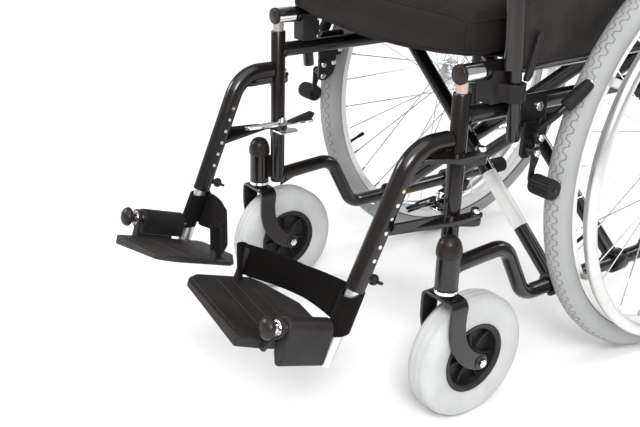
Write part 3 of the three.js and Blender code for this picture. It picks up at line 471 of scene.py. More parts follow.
def placed(bm, matrix, build):
    """What build(bm) adds, moved by the matrix."""
    old = set(bm.verts)
    build(bm)
    fresh = [v for v in bm.verts if v not in old]
    bmesh.ops.transform(bm, matrix=matrix, verts=fresh)


def bevel_edges(piece, width, angle):
    modifier = piece.modifiers.new("edges", "BEVEL")
    modifier.width = width * MM
    modifier.segments = 2
    modifier.limit_method = "ANGLE"
    modifier.angle_limit = deg(angle)


def finish_mesh(name, bm, bevel, angle):
    bmesh.ops.remove_doubles(bm, verts=bm.verts, dist=1e-4)
    bmesh.ops.recalc_face_normals(bm, faces=bm.faces)
    bmesh.ops.transform(bm, matrix=Matrix.Translation((0, SHIFT_Y, 0)) @ Matrix.Scale(MM, 4),
                        verts=bm.verts)
    mesh = bpy.data.meshes.new(name)
    bm.to_mesh(mesh)
    bm.free()
    mesh.shade_smooth()
    mesh.set_sharp_from_angle(angle=deg(angle))
    piece = bpy.data.objects.new(name, mesh)
    bpy.context.collection.objects.link(piece)
    if bevel:
        bevel_edges(piece, bevel, angle)
    return piece


def make(name, build, material, body, nodes=(), bevel=0.0, angle=38):
    """One piece on a body. build(bm) adds its geometry in millimetres."""
    bm = bmesh.new()
    build(bm)
    piece = finish_mesh(name, bm, bevel, angle)
    piece.data.materials.append(MAT[material])
    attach(piece, body)
    if nodes:
        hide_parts(*nodes)
    return piece


def mirror(bm):
    bmesh.ops.scale(bm, vec=(-1, 1, 1), verts=bm.verts)
    bmesh.ops.reverse_faces(bm, faces=bm.faces)


def make_pair(name, build, material, body, node=None, bevel=0.0, angle=38):
    """The left piece, and the right one as its mirror image."""
    pieces = []
    for side, sign in SIDES:
        def mirrored(bm, sign=sign):
            build(bm)
            if sign < 0:
                mirror(bm)
        nodes = (f"{node}_{side}",) if node else ()
        pieces.append(make(f"{name}_{side}", mirrored, material, f"{body}_{side}", nodes, bevel, angle))
    return pieces


# ---------------------------------------------------------------- the CAD node that keeps its shape
def dress_pivot():
    node = frame["nodes"]["cross_pivot"]
    node.data.materials.clear()
    node.data.materials.append(MAT["chrome"])
    node.data.shade_smooth()
    node.data.set_sharp_from_angle(angle=deg(36))
    bevel_edges(node, 0.6, 36)


# ---------------------------------------------------------------- rear wheels
WHEEL = Vector((WHEEL_X, CANE_Y, WHEEL_R))
TYRE_SECTION = 18.0


def on_wheel(x, r, angle):
    return Vector((WHEEL.x + x, WHEEL.y + r * math.cos(angle), WHEEL.z + r * math.sin(angle)))


def tyre(bm):
    segments = 240
    around = 40
    ring_r = WHEEL_R - TYRE_SECTION
    rows = []
    for i in range(segments):
        angle = 2 * math.pi * i / segments
        row = []
        for k in range(around + 1):
            turn = deg(-128 + 256 * k / around)
            shoulder = 0.9 if abs(abs(turn) - deg(52)) < deg(4) else 0.0
            r = ring_r + (TYRE_SECTION - shoulder) * math.cos(turn)
            x = (TYRE_SECTION - shoulder) * math.sin(turn)
            row.append(bm.verts.new(on_wheel(x, r, angle)))
        rows.append(row)
    for i in range(segments):
        a, b = rows[i], rows[(i + 1) % segments]
        for k in range(around):
            bm.faces.new((a[k], a[k + 1], b[k + 1], b[k]))
        bm.faces.new((a[around], a[0], b[0], b[around]))


def rim(bm):
    profile = [
        (261, -6.5), (262.5, -9.5), (268, -11.3), (275.5, -11.8), (276.4, -10.8), (276.4, 10.8),
        (275.5, 11.8), (268, 11.3), (262.5, 9.5), (261, 6.5), (259.6, 3), (259.6, -3),
    ]
    add_lathe(bm, profile, WHEEL, X, 180, closed=True)


def bead_line(bm):
    for side in (-1, 1):
        centre = WHEEL + X * side * 12.1
        add_lathe(bm, [(274.6, -0.9), (276.9, -0.9), (276.9, 1.2), (274.6, 1.2)], centre, X, 180,
                  closed=True)


SPOKE_COUNT = 36


def spoke_ends(i):
    """Hub and rim ends of one spoke."""
    side = 1 if i % 2 else -1
    sweep = 1 if (i // 2) % 2 else -1
    rim_angle = 2 * math.pi * (i + 0.5) / SPOKE_COUNT
    hub_angle = rim_angle + sweep * deg(72)
    ends = []
    for r, angle, x in ((21, hub_angle, side * 22 + sweep * 2.2),
                        (262, rim_angle, side * 2.6 + sweep * 1.2)):
        ends.append(on_wheel(x, r, angle))
    return ends


def spokes(bm):
    for i in range(SPOKE_COUNT):
        hub, end = spoke_ends(i)
        along = (end - hub).normalized()
        add_tube(bm, [hub, end], 1.05, 10)
        add_tube(bm, [end - along * 13, end - along * 11.5, end + along * 2], [1.1, 1.9, 2.1], 10)


def hub(bm):
    profile = [
        (7.2, -27), (15, -27), (16.5, -25.6), (23, -25.4), (24, -24.6), (24, -19.4), (23, -18.6), (15, -17),
        (12.6, -13), (12.6, 13), (15, 17), (23, 18.6), (24, 19.4), (24, 24.6), (23, 25.4), (16.5, 25.6),
        (15, 27), (7.2, 27),
    ]
    add_lathe(bm, profile, WHEEL, X, 56, closed=True)


def valve(bm):
    angle = deg(200)
    foot = WHEEL + Vector((0, 260 * math.cos(angle), 260 * math.sin(angle)))
    inward = (WHEEL - foot).normalized()
    add_tube(bm, [foot, foot + inward * 4, foot + inward * 5, foot + inward * 24], [3.4, 3.4, 2.4, 2.4], 16)
    add_tube(bm, [foot + inward * 22, foot + inward * 32], 3.2, 16)


def handrim(bm):
    ring = []
    for i in range(20):
        angle = 2 * math.pi * i / 20
        ring.append((268 + 9 * math.cos(angle), 9 * math.sin(angle)))
    add_lathe(bm, ring, Vector((285, CANE_Y, WHEEL_R)), X, 180, closed=True)


HANDRIM_TAB = [(11.8, 264), (11.8, 270), (30, 262.5), (36, 262.5), (36, 259.5), (28, 259.5)]


def handrim_tabs(bm):
    for i in range(6):
        turn = Matrix.Translation(WHEEL) @ Matrix.Rotation(deg(60 * i), 4, "X")
        placed(bm, turn, lambda bm: add_prism(bm, HANDRIM_TAB, "y", -6, 6))


def rear_wheels():
    make_pair("wheel_tyre", tyre, "tyre", "wheel", "rear_tyre", angle=60)
    make_pair("wheel_rim", rim, "rim", "wheel", "rear_wheel")
    make_pair("wheel_bead", bead_line, "bead", "wheel")
    make_pair("wheel_spokes", spokes, "chrome", "wheel")
    make_pair("wheel_hub", hub, "aluminium", "wheel")
    make_pair("wheel_valve", valve, "rubber", "wheel")
    make_pair("push_rim", handrim, "handrim", "wheel", "handrim")
    make_pair("push_rim_tabs", handrim_tabs, "handrim", "wheel", bevel=0.6)


# ---------------------------------------------------------------- casters
def caster_tyre(bm):
    profile = [(49.4, -17.5), (52, -19.6), (60, -21.4), (70, -22), (77, -21.2), (82, -18.4), (84.8, -15)]
    for x in (-9, 0, 9):
        profile += [(86.2, x - 2.4), (86.6, x - 1.4), (85.2, x), (86.6, x + 1.4), (86.2, x + 2.4)]
    profile += [(84.8, 15), (82, 18.4), (77, 21.2), (70, 22), (60, 21.4), (52, 19.6), (49.4, 17.5)]
    add_lathe(bm, profile, CASTER_AXLE, X, 128, closed=True)


CASTER_SPOKE = [(-10, 12), (10, 12), (7, 28), (9, 42.5), (-9, 42.5), (-7, 28)]


def caster_hub(bm):
    add_lathe(bm, [(41, -15), (43, -17), (48.6, -17.8), (49.2, -17), (49.2, 17), (48.6, 17.8), (43, 17),
                   (41, 15)], CASTER_AXLE, X, 96, closed=True)
    add_lathe(bm, [(4.7, -22), (10, -22), (12, -20), (15, -8), (15, 8), (12, 20), (10, 22), (4.7, 22)],
              CASTER_AXLE, X, 48, closed=True)
    for i in range(7):
        angle = 2 * math.pi * i / 7
        turn = Matrix.Translation(CASTER_AXLE) @ Matrix.Rotation(angle, 4, "X")
        placed(bm, turn, lambda bm: add_prism(bm, CASTER_SPOKE, "y", -1.7, 1.7))
    add_lathe(bm, [(14, -2), (42, -2), (42, 2), (14, 2)], CASTER_AXLE, X, 64, closed=True)


def caster_bolts(bm):
    for side in (-1, 1):
        add_bolt(bm, CASTER_AXLE + X * side * 29.6, X * side, 6, 5)
    add_lathe(bm, [(13.4, 190.6), (15.4, 190.6), (15.4, 194.9), (13.4, 194.9)], STEM, Z, 40, closed=True)


def casters():
    make_pair("caster_tread", caster_tyre, "caster", "caster", "caster_tyre", angle=50)
    make_pair("caster_spokes", caster_hub, "plastic", "caster", "caster_hub", bevel=0.8)
    make_pair("caster_bolts", caster_bolts, "chrome", "caster_swivel", bevel=0.3)
    make_pair("caster_strip", fork, "frame", "caster_swivel", "caster_fork", bevel=1.0, angle=32)


# ---------------------------------------------------------------- side frames
POST = Vector((HALF_TRACK, 0, 0))


def frame_tubes(bm):
    x = HALF_TRACK
    add_lathe(bm, [(0, 198), (10, 198), (11, 199), (11, 206.5), (0, 206.5)], POST, Z, 32)
    add_lathe(bm, [(8.6, 206), (11, 206), (11, 436), (10.3, 437), (8.6, 437)], POST, Z, 32, closed=True)
    add_rod(bm, (x, 4, SIDE_RAIL_Z), (x, CANE_Y, SIDE_RAIL_Z), TUBE_R, 32)
    lower = [(x, 4, 208), (x, 104, 214), (x, 150, LOWER_RAIL_Z), (x, 512, LOWER_RAIL_Z)]
    add_tube(bm, bent_path(lower, 32, 10), TUBE_R, 32)
    cane = [(x, CANE_Y, LOWER_RAIL_Z), (x, CANE_Y, HANDLE_Z), (x, 572, HANDLE_Z)]
    add_tube(bm, bent_path(cane, 45, 12), TUBE_R, 32)


def weld_rings(bm):
    x = HALF_TRACK
    seams = (
        ((x, 10.2, SIDE_RAIL_Z), Y), ((x, 10.2, 208.3), Y), ((x, CANE_Y - 10.6, SIDE_RAIL_Z), Y),
        ((x, CANE_Y - 10.6, LOWER_RAIL_Z), Y), ((x, CANE_Y, LOWER_RAIL_Z + TUBE_R), Z),
    )
    for centre, axis in seams:
        ring = []
        for i in range(8):
            angle = 2 * math.pi * i / 8
            ring.append((11.4 + 1.2 * math.cos(angle), 1.5 * math.sin(angle)))
        add_lathe(bm, ring, Vector(centre), axis, 32, closed=True)


def hinge_lug(bm, low, high):
    outline = [(194, -6), (204, -10), (212, -6), (225, 14), (226, 22), (222, 28), (214, 29), (207, 20),
               (194, 8)]
    add_prism(bm, outline, "z", low, high)


def frame_fittings(bm):
    x = HALF_TRACK
    add_lathe(bm, [(0, 195.4), (14, 195.4), (15, 196.4), (15, 243), (0, 243)], STEM, Z, 48)
    add_prism(bm, [(6, 189), (33, 199), (8, 203)], "x", x - 2, x + 2)
    across = Vector((STEM.x - x, STEM.y, 0)).normalized()
    side = Vector((-across.y, across.x, 0)) * 3.5
    middle = Vector((x, 0, 0)).lerp(Vector((STEM.x, STEM.y, 0)), 0.5)
    corners = [middle + across * 10 + side, middle - across * 10 + side, middle - across * 10 - side,
               middle + across * 10 - side]
    add_prism(bm, [(c.x, c.y) for c in corners], "z", 203, 239)
    hinge_lug(bm, 352, 360.6)
    hinge_lug(bm, 272, 280.6)
    add_prism(bm, [(x - 24, -9), (x - 18, -11), (x, -9), (x, 1), (x - 18, 3), (x - 24, 1)], "z", 288, 295.6)
    add_block(bm, (x, 309, 392), (229.1, 335, 425.6))
    boss = Vector((x, CANE_Y, WHEEL_R))
    add_lathe(bm, [(0, 0), (15, 0), (15, 18.6), (14, 20), (0, 20)], boss, X, 48)
    add_tube(bm, [boss, boss + X * 81], 6, 24)


def housing_caps(bm):
    profile = [(0, 240), (15.6, 240), (16.4, 241.4), (16.6, 246), (16, 252), (14.4, 257.4), (14.2, 258),
               (13.2, 260), (10, 264.4), (5, 266.8), (0, 267)]
    add_lathe(bm, profile, STEM, Z, 48)


def frame_bolts(bm):
    for z in (361, 281):
        add_rod(bm, (217, 21, z - 6), (217, 21, z + 8), 4, 20)
        add_lathe(bm, [(0, 6.6), (6.5, 6.6), (6.5, 10.4), (5, 12), (0, 12)], Vector((217, 21, z)), Z, 24)
    for y in (200, 394):
        add_bolt(bm, Vector((HALF_TRACK, y, 117.2)), -Z, 4.2, 3.2)
    add_bolt(bm, Vector((276.2, CANE_Y, WHEEL_R)), X, 10, 7)
    add_rod(bm, (180, -4, 292), (180, -4, 303), 2.6, 16)


def tip_rubber(bm):
    profile = [(11.3, 486)]
    for i in range(7):
        y = 487 + 4 * i
        profile += [(14.4, y), (14.4, y + 2.4), (13.5, y + 2.8), (13.5, y + 3.6)]
    profile += [(14.2, 515), (12, 517), (0, 517)]
    add_lathe(bm, profile, Vector((HALF_TRACK, 0, LOWER_RAIL_Z)), Y, 40)


def hand_grip(bm):
    profile = [(11.3, 478), (14.5, 478), (17.4, 480), (17.4, 483), (15.2, 486)]
    for i in range(6):
        y = 488 + 13.4 * i
        profile += [(15.1, y), (16, y + 4), (16, y + 8), (15.1, y + 11.6)]
    profile += [(15.6, 570), (16, 574), (14, 578), (0, 578)]
    add_lathe(bm, profile, Vector((HALF_TRACK, 0, HANDLE_Z)), Y, 48)


def saddle(bm):
    x = HALF_TRACK
    outline = [(x - 13, 419.6), (x + 12, 419.6), (x + 12.6, 461)]
    for i in range(13):
        angle = math.pi * i / 12
        outline.append((x + 11.5 * math.cos(angle), 459.5 - 11.5 * math.sin(angle)))
    outline.append((x - 13, 461))
    add_prism(bm, outline, "y", 36, 62)


def receiver_band(bm):
    """A strap bent round the armrest leg."""
    centre = Vector((219.3, 65.2))
    outer = [(202, 45), (202, 41.6)]
    inner = []
    for i in range(13):
        angle = deg(-90 + 15 * i)
        outer.append((centre.x + 13 * math.cos(angle), centre.y + 13.8 * math.sin(angle)))
        inner.append((centre.x + 9.4 * math.cos(angle), centre.y + 9.9 * math.sin(angle)))
    outer += [(202, 78), (202, 74)]
    add_prism(bm, outer + list(reversed(inner)), "z", 422.6, 445.2)


def frames():
    make_pair("frame_tubes", frame_tubes, "frame", "frame", "side_frame", angle=50)
    make_pair("frame_welds", weld_rings, "frame", "frame")
    make_pair("frame_fittings", frame_fittings, "frame", "frame", bevel=0.9)
    make_pair("frame_caps", housing_caps, "cap", "frame", angle=30)
    make_pair("frame_bolts", frame_bolts, "chrome", "frame", bevel=0.3)
    make_pair("frame_tip", tip_rubber, "rubber", "frame", "tipping_tip")
    make_pair("push_handle", hand_grip, "rubber", "frame", "push_grip")
    make_pair("frame_saddle", saddle, "plastic", "frame", "rail_receiver", bevel=1.0)
    make_pair("frame_band", receiver_band, "steel", "frame", bevel=0.5)


# ---------------------------------------------------------------- caster fork
def fork_stations():
    """Centre, half width and outward direction along the bent strip, from the stem down one leg."""
    inside, bend = 27.2, 9
    top = 184.6
    stations = []
    for x in (0, 6, 12, inside - bend):
        stations.append((Vector((x, STEM.y, top)), Y * 14, Z))
    for i in range(1, 7):
        angle = math.pi / 2 * i / 6
        centre = Vector((inside - bend + bend * math.sin(angle), STEM.y,
                         top - bend + bend * math.cos(angle)))
        stations.append((centre, Y * 13.5, Vector((math.sin(angle), 0, math.cos(angle)))))
    start, control, end = Vector((STEM.y, top - bend)), Vector((STEM.y - 8, 106)), Vector((25, 87))
    for i in range(1, 17):
        t = i / 16
        point = start * (1 - t) ** 2 + control * 2 * t * (1 - t) + end * t ** 2
        tangent = ((control - start) * (1 - t) + (end - control) * t).normalized()
        half = 13.2 - 2 * t
        width = Vector((0, -tangent.y, tangent.x)) * half
        stations.append((Vector((inside, point.x, point.y)), width, X))
    last, width, _ = stations[-1]
    along = Vector((0, width.z, -width.y)).normalized()
    for s in (0.3, 0.55, 0.75, 0.9, 0.985):
        stations.append((last + along * width.length * s, width * math.sqrt(1 - s * s), X))
    return stations


def fork(bm):
    for sign in (1, -1):
        rows = []
        for centre, width, normal in fork_stations():
            place = Vector((centre.x * sign + STEM.x, centre.y, centre.z))
            out = Vector((normal.x * sign, normal.y, normal.z)) * 2.3
            ring = [place + width + out, place - width + out, place - width - out, place + width - out]
            rows.append([bm.verts.new(v) for v in ring])
        add_skin(bm, rows)
        add_disc(bm, CASTER_AXLE + X * sign * 29.2, X * sign, 10, 2.2)
    add_lathe(bm, [(0, 182), (13, 182), (13, 194.4), (12, 195), (0, 195)], STEM, Z, 40)
    add_tube(bm, [CASTER_AXLE - X * 30, CASTER_AXLE + X * 30], 4, 20)


# ---------------------------------------------------------------- swing-away footrests
LEAN_ANGLE = 24
LEAN = math.tan(deg(LEAN_ANGLE))
FOOT = Vector((187.6, -269.3, 201))
FOOT_TILT = -18.4
PLATE_ROLL = 8


def on_hanger(z):
    drop = 380 - z
    return Vector((196 - drop * 0.0368, -67.5 - drop * LEAN, z))


def foot_matrix(roll=0):
    tilt = Matrix.Rotation(deg(FOOT_TILT), 4, "X")
    return Matrix.Translation(FOOT) @ tilt @ Matrix.Rotation(deg(roll), 4, "Y")


def hanger_tube(bm):
    end = on_hanger(214)
    add_tube(bm, bent_path([(196, -14.5, 380), (196, -67.5, 380), tuple(end)], 50, 14), 12.5, 36)


def hanger_arms(bm):
    add_prism(bm, [(187, -58), (205, -60), (225, -22), (226, 17), (223, 29), (212, 29), (211, 15),
                   (211, -14), (187, -42)], "z", 361, 367)
    front = on_hanger(281)
    add_prism(bm, [(front.x - 9, front.y - 6), (front.x + 9, front.y - 8), (225, -22), (226, 17), (223, 29),
                   (212, 29), (211, 15), (211, -14), (front.x - 9, front.y + 10)], "z", 281, 287)
    add_prism(bm, [(-104, 285), (-104, 298), (-26, 293), (-26, 285)], "x", 209, 213)
    add_block(bm, (188, -46, 361), (204, -16, 372))


def hanger_holes(bm, numbers):
    pitch = 17.8 * math.cos(deg(LEAN_ANGLE))
    for i in numbers:
        centre = on_hanger(334 - i * pitch)
        for side in (-1, 1):
            add_lathe(bm, [(0, 12.1), (2.6, 12.1), (2.6, 12.5), (1.6, 12.75), (0, 12.75)], centre,
                      X * side, 20)


def leg_tube(bm):
    top, low = on_hanger(330), on_hanger(122)
    down = (low - top).normalized()
    add_tube(bm, [top, low - down * 1.2, low], [9.4, 9.4, 8.4], 36)


def foot_rod(bm):
    def build(bm):
        add_rod(bm, (0, 8, 0), (0, 112, 0), 8, 32)
        add_lathe(bm, [(8.4, 20), (10.6, 20), (10.6, 23.4), (8.4, 23.4)], Vector(), Y, 32, closed=True)
    placed(bm, foot_matrix(), build)


def foot_cap(bm):
    profile = [(0, -1), (5, -0.6), (9.4, 1), (12.4, 3.6), (13.8, 6.6), (13.6, 9), (11.8, 10.8), (9, 12),
               (8.4, 14), (0, 14)]
    placed(bm, foot_matrix(), lambda bm: add_lathe(bm, profile, Vector(), Y, 40))


def foot_cover(bm):
    """A moulded shell bent over the hinge rod: a long outer side, a round top and a shorter inner side."""
    outside, inside = [], []
    for i in range(17):
        angle = math.pi * i / 16
        outside.append((14 * math.cos(angle), 14 * math.sin(angle)))
        inside.append((11 * math.cos(angle), 11 * math.sin(angle)))
    outside = [(8, -43.5), (12, -42.4), (14, -38)] + outside + [(-14, -16), (-12.6, -20)]
    inside = [(8, -40.6), (10.4, -39.4), (11, -37)] + inside + [(-11, -16), (-10.4, -20)]

    def build(bm):
        add_prism(bm, outside + list(reversed(inside)), "y", 31, 95)
        flange = outside + [(-10, -20), (-2, -12), (-4, -30), (4, -43)]
        add_prism(bm, flange, "y", 28.8, 32)
    placed(bm, foot_matrix(), build)


PLATE_TOP = -23.5
PLATE_OUTLINE = [(-18, -14), (-140, -18), (-152, -10), (-162, 5), (-162, 88), (-150, 100), (-100, 131),
                 (-18, 131), (-12, 122), (-12, 27)]


def footplate(bm):
    def build(bm):
        old = set(bm.verts)
        add_prism(bm, PLATE_OUTLINE, "z", PLATE_TOP - 14, PLATE_TOP)
        for v in bm.verts:
            if v not in old and v.co.z < PLATE_TOP - 5 and v.co.x < -70:
                v.co.z += (-70 - v.co.x) * 0.1
    placed(bm, foot_matrix(PLATE_ROLL), build)


def footplate_ribs(bm):
    """Wide treads with narrow grooves between them."""
    def build(bm):
        for front, back in ((-9, 27), (30, 50), (53, 73), (76, 92)):
            inner = -152 if back < 84 else -141
            outer = -24 if front > 26 else -34
            add_prism(bm, [(inner, front), (outer, front), (outer, back), (inner, back)], "z",
                      PLATE_TOP - 1, PLATE_TOP + 0.9)
    placed(bm, foot_matrix(PLATE_ROLL), build)


def footplate_mount(bm):
    def build(bm):
        add_prism(bm, [(-20, -37.5), (-8, -37.5), (2, -11), (-2, -3), (-12.4, -3), (-12.5, -24)], "y",
                  20, 25)
        add_lathe(bm, [(8.8, 20), (11.8, 20), (12.5, 20.7), (12.5, 24.3), (11.8, 25), (8.8, 25)],
                  Vector(), Y, 36, closed=True)
        add_lathe(bm, [(0, -28), (4.6, -28), (4.6, 20), (3.6, 22), (0, 22)], Vector((-154, 62, 0)), Z, 20)
    placed(bm, foot_matrix(PLATE_ROLL), build)


STRAP_LOW, STRAP_WIDTH = 164, 46


def strap_path(slack):
    """The strap's middle line from above: round the leg tube, inboard in a curve, and round its post."""
    middle = on_hanger(STRAP_LOW + STRAP_WIDTH / 2)
    tube, post = Vector((middle.x, middle.y)), Vector((35.2, -203.6))
    points = []
    for i in range(21):
        angle = deg(-190 + 16 * i)
        points.append(tube + Vector((13.7 * math.cos(angle), 15 * math.sin(angle))))
    start, end = points[-1], post + Vector((2, 6.6))
    control = Vector((96, -150)).lerp(Vector((74, -118)), slack)
    for i in range(1, 22):
        t = i / 22
        points.append(start * (1 - t) ** 2 + control * 2 * t * (1 - t) + end * t ** 2)
    for i in range(14):
        angle = deg(80 + 19 * i)
        points.append(post + Vector((math.cos(angle), math.sin(angle))) * 6.6)
    return points


def strap_place(point, side, share):
    """A point of the strap: share runs from its lower edge, 0, to its upper one, 1."""
    near_tube = max(0.0, min(1.0, (point.x - 110) / 60))
    lean = (share - 0.5) * STRAP_WIDTH * LEAN * near_tube
    settle = (1 - near_tube) * -2
    rise = 0.14 * max(0, 174 - point.x)
    return Vector((point.x + side.x, point.y + side.y + lean,
                   STRAP_LOW + settle + rise + STRAP_WIDTH * share))


def heel_strap(slack):
    def build(bm):
        points = strap_path(slack)
        rows = []
        for i, point in enumerate(points):
            ahead = points[min(i + 1, len(points) - 1)] - points[max(i - 1, 0)]
            side = Vector((-ahead.y, ahead.x)).normalized() * 0.9
            outer = [strap_place(point, side, k / 8) for k in range(9)]
            inner = [strap_place(point, -side, k / 8) for k in range(8, -1, -1)]
            rows.append([bm.verts.new(v) for v in outer + inner])
        add_skin(bm, rows)
    return build


def strap_stitches(slack):
    def build(bm):
        points = strap_path(slack)
        for index in (23, 39):
            ahead = (points[index + 1] - points[index - 1]).normalized()
            for direction in (-1, 1):
                side = Vector((-ahead.y, ahead.x)) * direction * 1.05
                for k in range(10):
                    low = strap_place(points[index], side, 0.06 + 0.09 * k)
                    add_tube(bm, [low, low + Z * 2.4], 0.45, 6)
    return build


def wing_screw(bm):
    site = on_hanger(224)
    site.y += 12.9 / math.cos(deg(LEAN_ANGLE))
    turn = Matrix.Translation(site) @ Matrix.Rotation(deg(-LEAN_ANGLE), 4, "X")

    def build(bm):
        add_lathe(bm, [(0, 0), (4, 0), (4, 6), (7, 8), (7, 13), (5.6, 14.4), (0, 14.4)], Vector(), Y, 24)
        for side in (-1, 1):
            add_prism(bm, [(side * 4, 9), (side * 10, 8.6), (side * 13, 11), (side * 13, 16),
                           (side * 9.6, 17.6), (side * 4, 13.6)], "z", -1.8, 1.8)
    placed(bm, turn, build)


LATCH = (180, -4)


def release_lever(bm):
    x, y = LATCH
    outline = [(x - 6, y - 8), (x + 1, y - 56), (x + 5, y - 62), (x + 10, y - 61), (x + 6, y - 8),
               (x + 6, y + 4), (x - 1, y + 46), (x - 5, y + 51), (x - 13, y + 50), (x - 14, y + 44),
               (x - 10, y + 26), (x - 7, y + 8)]
    add_prism(bm, outline, "z", 296, 300)
    add_prism(bm, [(y - 40, 299), (y - 8, 299), (y - 8, 303), (y - 36, 301)], "x", x - 3, x + 2)
    coil = []
    for i in range(60):
        angle = i * 0.55
        coil.append(Vector((x + 5 * math.cos(angle), y + 5 * math.sin(angle), 300.6 + i * 0.07)))
    add_tube(bm, coil, 0.7, 6)


def release_thumb(bm):
    x, y = LATCH
    add_prism(bm, [(y + 8, 299.6), (y + 46, 301), (y + 52, 309), (y + 50, 312), (y + 26, 307),
                   (y + 8, 303)], "x", x - 14, x - 2)


def latch_plate(bm):
    add_prism(bm, [(170, -12), (192, -13), (194, 8), (182, 22), (170, 20)], "z", 283.6, 286.4)
    add_rod(bm, (180, -4, 284), (180, -4, 289), 4, 20)


def footrests():
    make_pair("release_thumb", release_thumb, "plastic", "footrest_latch", bevel=1.0)
    make_pair("latch_plate", latch_plate, "chrome", "frame", bevel=0.5)
    make_pair("footrest_tube", hanger_tube, "frame", "footrest", "hanger", angle=50)
    make_pair("footrest_arms", hanger_arms, "frame", "footrest", bevel=0.8)
    make_pair("footrest_holes", lambda bm: hanger_holes(bm, range(1, 6)), "aluminium", "footrest")
    make_pair("footrest_pin", lambda bm: hanger_holes(bm, (0,)), "brass", "footrest")
    make_pair("leg_tube", leg_tube, "aluminium", "leg", "leg_extension")
    make_pair("leg_rod", foot_rod, "chrome", "leg")
    make_pair("leg_cap", foot_cap, "cap", "leg")
    make_pair("leg_cover", foot_cover, "plastic", "leg", "foot_cover", bevel=2.2)
    make_pair("foot_plate", footplate, "plate", "foot", "footplate", bevel=2.4, angle=30)
    make_pair("foot_ribs", footplate_ribs, "plate", "foot", bevel=0.8)
    make_pair("foot_mount", footplate_mount, "plate", "foot", bevel=0.8)
    make_pair("wing_screw", wing_screw, "plastic", "screw", "height_screw", bevel=1.2)
    make_pair("release_lever", release_lever, "chrome", "footrest_latch", "hanger_latch", bevel=0.5)


def heel_straps():
    for side, sign in SIDES:
        slack = 0.45 if sign < 0 else 0.0
        for name, build in (("heel_band", heel_strap(slack)), ("heel_stitch", strap_stitches(slack))):
            bm = bmesh.new()
            build(bm)
            if sign < 0:
                mirror(bm)
            piece = finish_mesh(f"{name}_{side}", bm, 0, 60)
            piece.data.materials.append(MAT["webbing"])
            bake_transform(piece)
            if name == "heel_band":
                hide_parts(f"heel_strap_{side}")


# ---------------------------------------------------------------- parking brakes
def brake_plate(bm):
    x = 209.5
    add_prism(bm, [(86, 386), (90, 384), (126, 384), (132, 390), (132, 420), (128, 424), (92, 424),
                   (86, 416)], "x", x, x + 6)
    add_prism(bm, [(89, 350), (93, 344.6), (102, 344), (116, 353), (122, 366), (122, 392), (90, 392)],
              "x", x + 5.8, x + 10.8)
    for y, z, end in ((106, 374, 228.4), (98, 356, 232.8)):
        add_rod(bm, (x + 8, y, z), (end, y, z), 6, 24)
    add_rod(bm, (x - 6, 100, 408), (x + 1, 100, 408), 12.6, 24)


def brake_bolts(bm):
    for x, y, z, radius in ((215.4, 116, 408, 6), (233.2, 106, 374, 5), (236.6, 98, 356, 5),
                            (220.4, 113, 360, 4.4)):
        add_disc(bm, Vector((x, y, z)), X, radius, 3.4)
        add_lathe(bm, [(0, 3.2), (radius * 0.5, 3.2), (radius * 0.42, 3.9), (0, 3.9)], Vector((x, y, z)),
                  X, 6)
    for x, y, z in ((209.6, 120, 412), (209.6, 124, 394), (215.4, 96, 352), (215.4, 116, 372),
                    (215.4, 97, 370)):
        add_disc(bm, Vector((x, y, z)), -X, 4.6, 3.2)
        add_lathe(bm, [(0, 3), (2.4, 3), (2, 3.8), (0, 3.8)], Vector((x, y, z)), -X, 6)


def brake_lever(bm):
    y, z = 106, 374
    outline = [(y - 8, z - 3), (y - 6, z - 8), (y + 4, z - 9), (y + 8, z - 4), (y + 11, z + 12),
               (y + 8, z + 24), (y + 1, z + 27), (y - 4, z + 22)]
    add_prism(bm, outline, "x", 229, 233)
    path = bent_path([(231, y - 1, z + 12), tuple(LEVER_KNEE), (261.4, 144.2, 440.2)], 13, 8)
    add_tube(bm, path, 4.6, 20)


LEVER_KNEE = Vector((249, 113, 407))
LEVER_TIP = Vector((262, 145.5, 441.7))


def brake_handle(bm):
    along = (LEVER_TIP - LEVER_KNEE).normalized()
    profile = [(5.2, -37), (7.4, -37), (8.6, -35.6), (9, -30), (8.9, -18), (8.2, -6), (7.2, 2), (6, 4.4),
               (3, 5), (0, 5)]
    add_lathe(bm, profile, LEVER_TIP, along, 32)


def brake_handle_tip(bm):
    along = (LEVER_TIP - LEVER_KNEE).normalized()
    add_lathe(bm, [(0, 4), (3, 4), (3, 6), (2, 7), (0, 7.2)], LEVER_TIP, along, 20)


def brake_link(bm):
    y, z = 98, 356
    outline = [(y - 6, z + 4), (y - 3, z + 7), (y + 3, z + 7), (y + 6, z + 4), (y + 6, z - 10),
               (y + 1, z - 22), (y + 2, z - 34), (y + 8, z - 38), (y + 7, z - 44), (y + 1, z - 46),
               (y - 5, z - 42), (y - 8, z - 32), (y - 7, z - 16)]
    add_prism(bm, outline, "x", 233.4, 236.4)
    add_rod(bm, (234, 99, 317), (272.6, 99, 317), 3, 20)


def brake_roller(bm):
    """A ribbed rubber sleeve with plain ends."""
    ribs, segments = 18, 108
    stations = ((237, 11.4, 0), (238, 12.4, 0), (241, 12.4, 1), (266, 12.4, 1), (269, 12.6, 0),
                (270.4, 12.2, 0), (271, 11, 0))
    rings = []
    for x, radius, ribbed in stations:
        ring = []
        for i in range(segments):
            angle = 2 * math.pi * i / segments
            lift = ribbed * (0.6 if math.sin(ribs * angle) > -0.1 else -1.1)
            r = radius + lift
            ring.append(bm.verts.new((x, 99 + r * math.cos(angle), 317 + r * math.sin(angle))))
        rings.append(ring)
    add_skin(bm, rings)


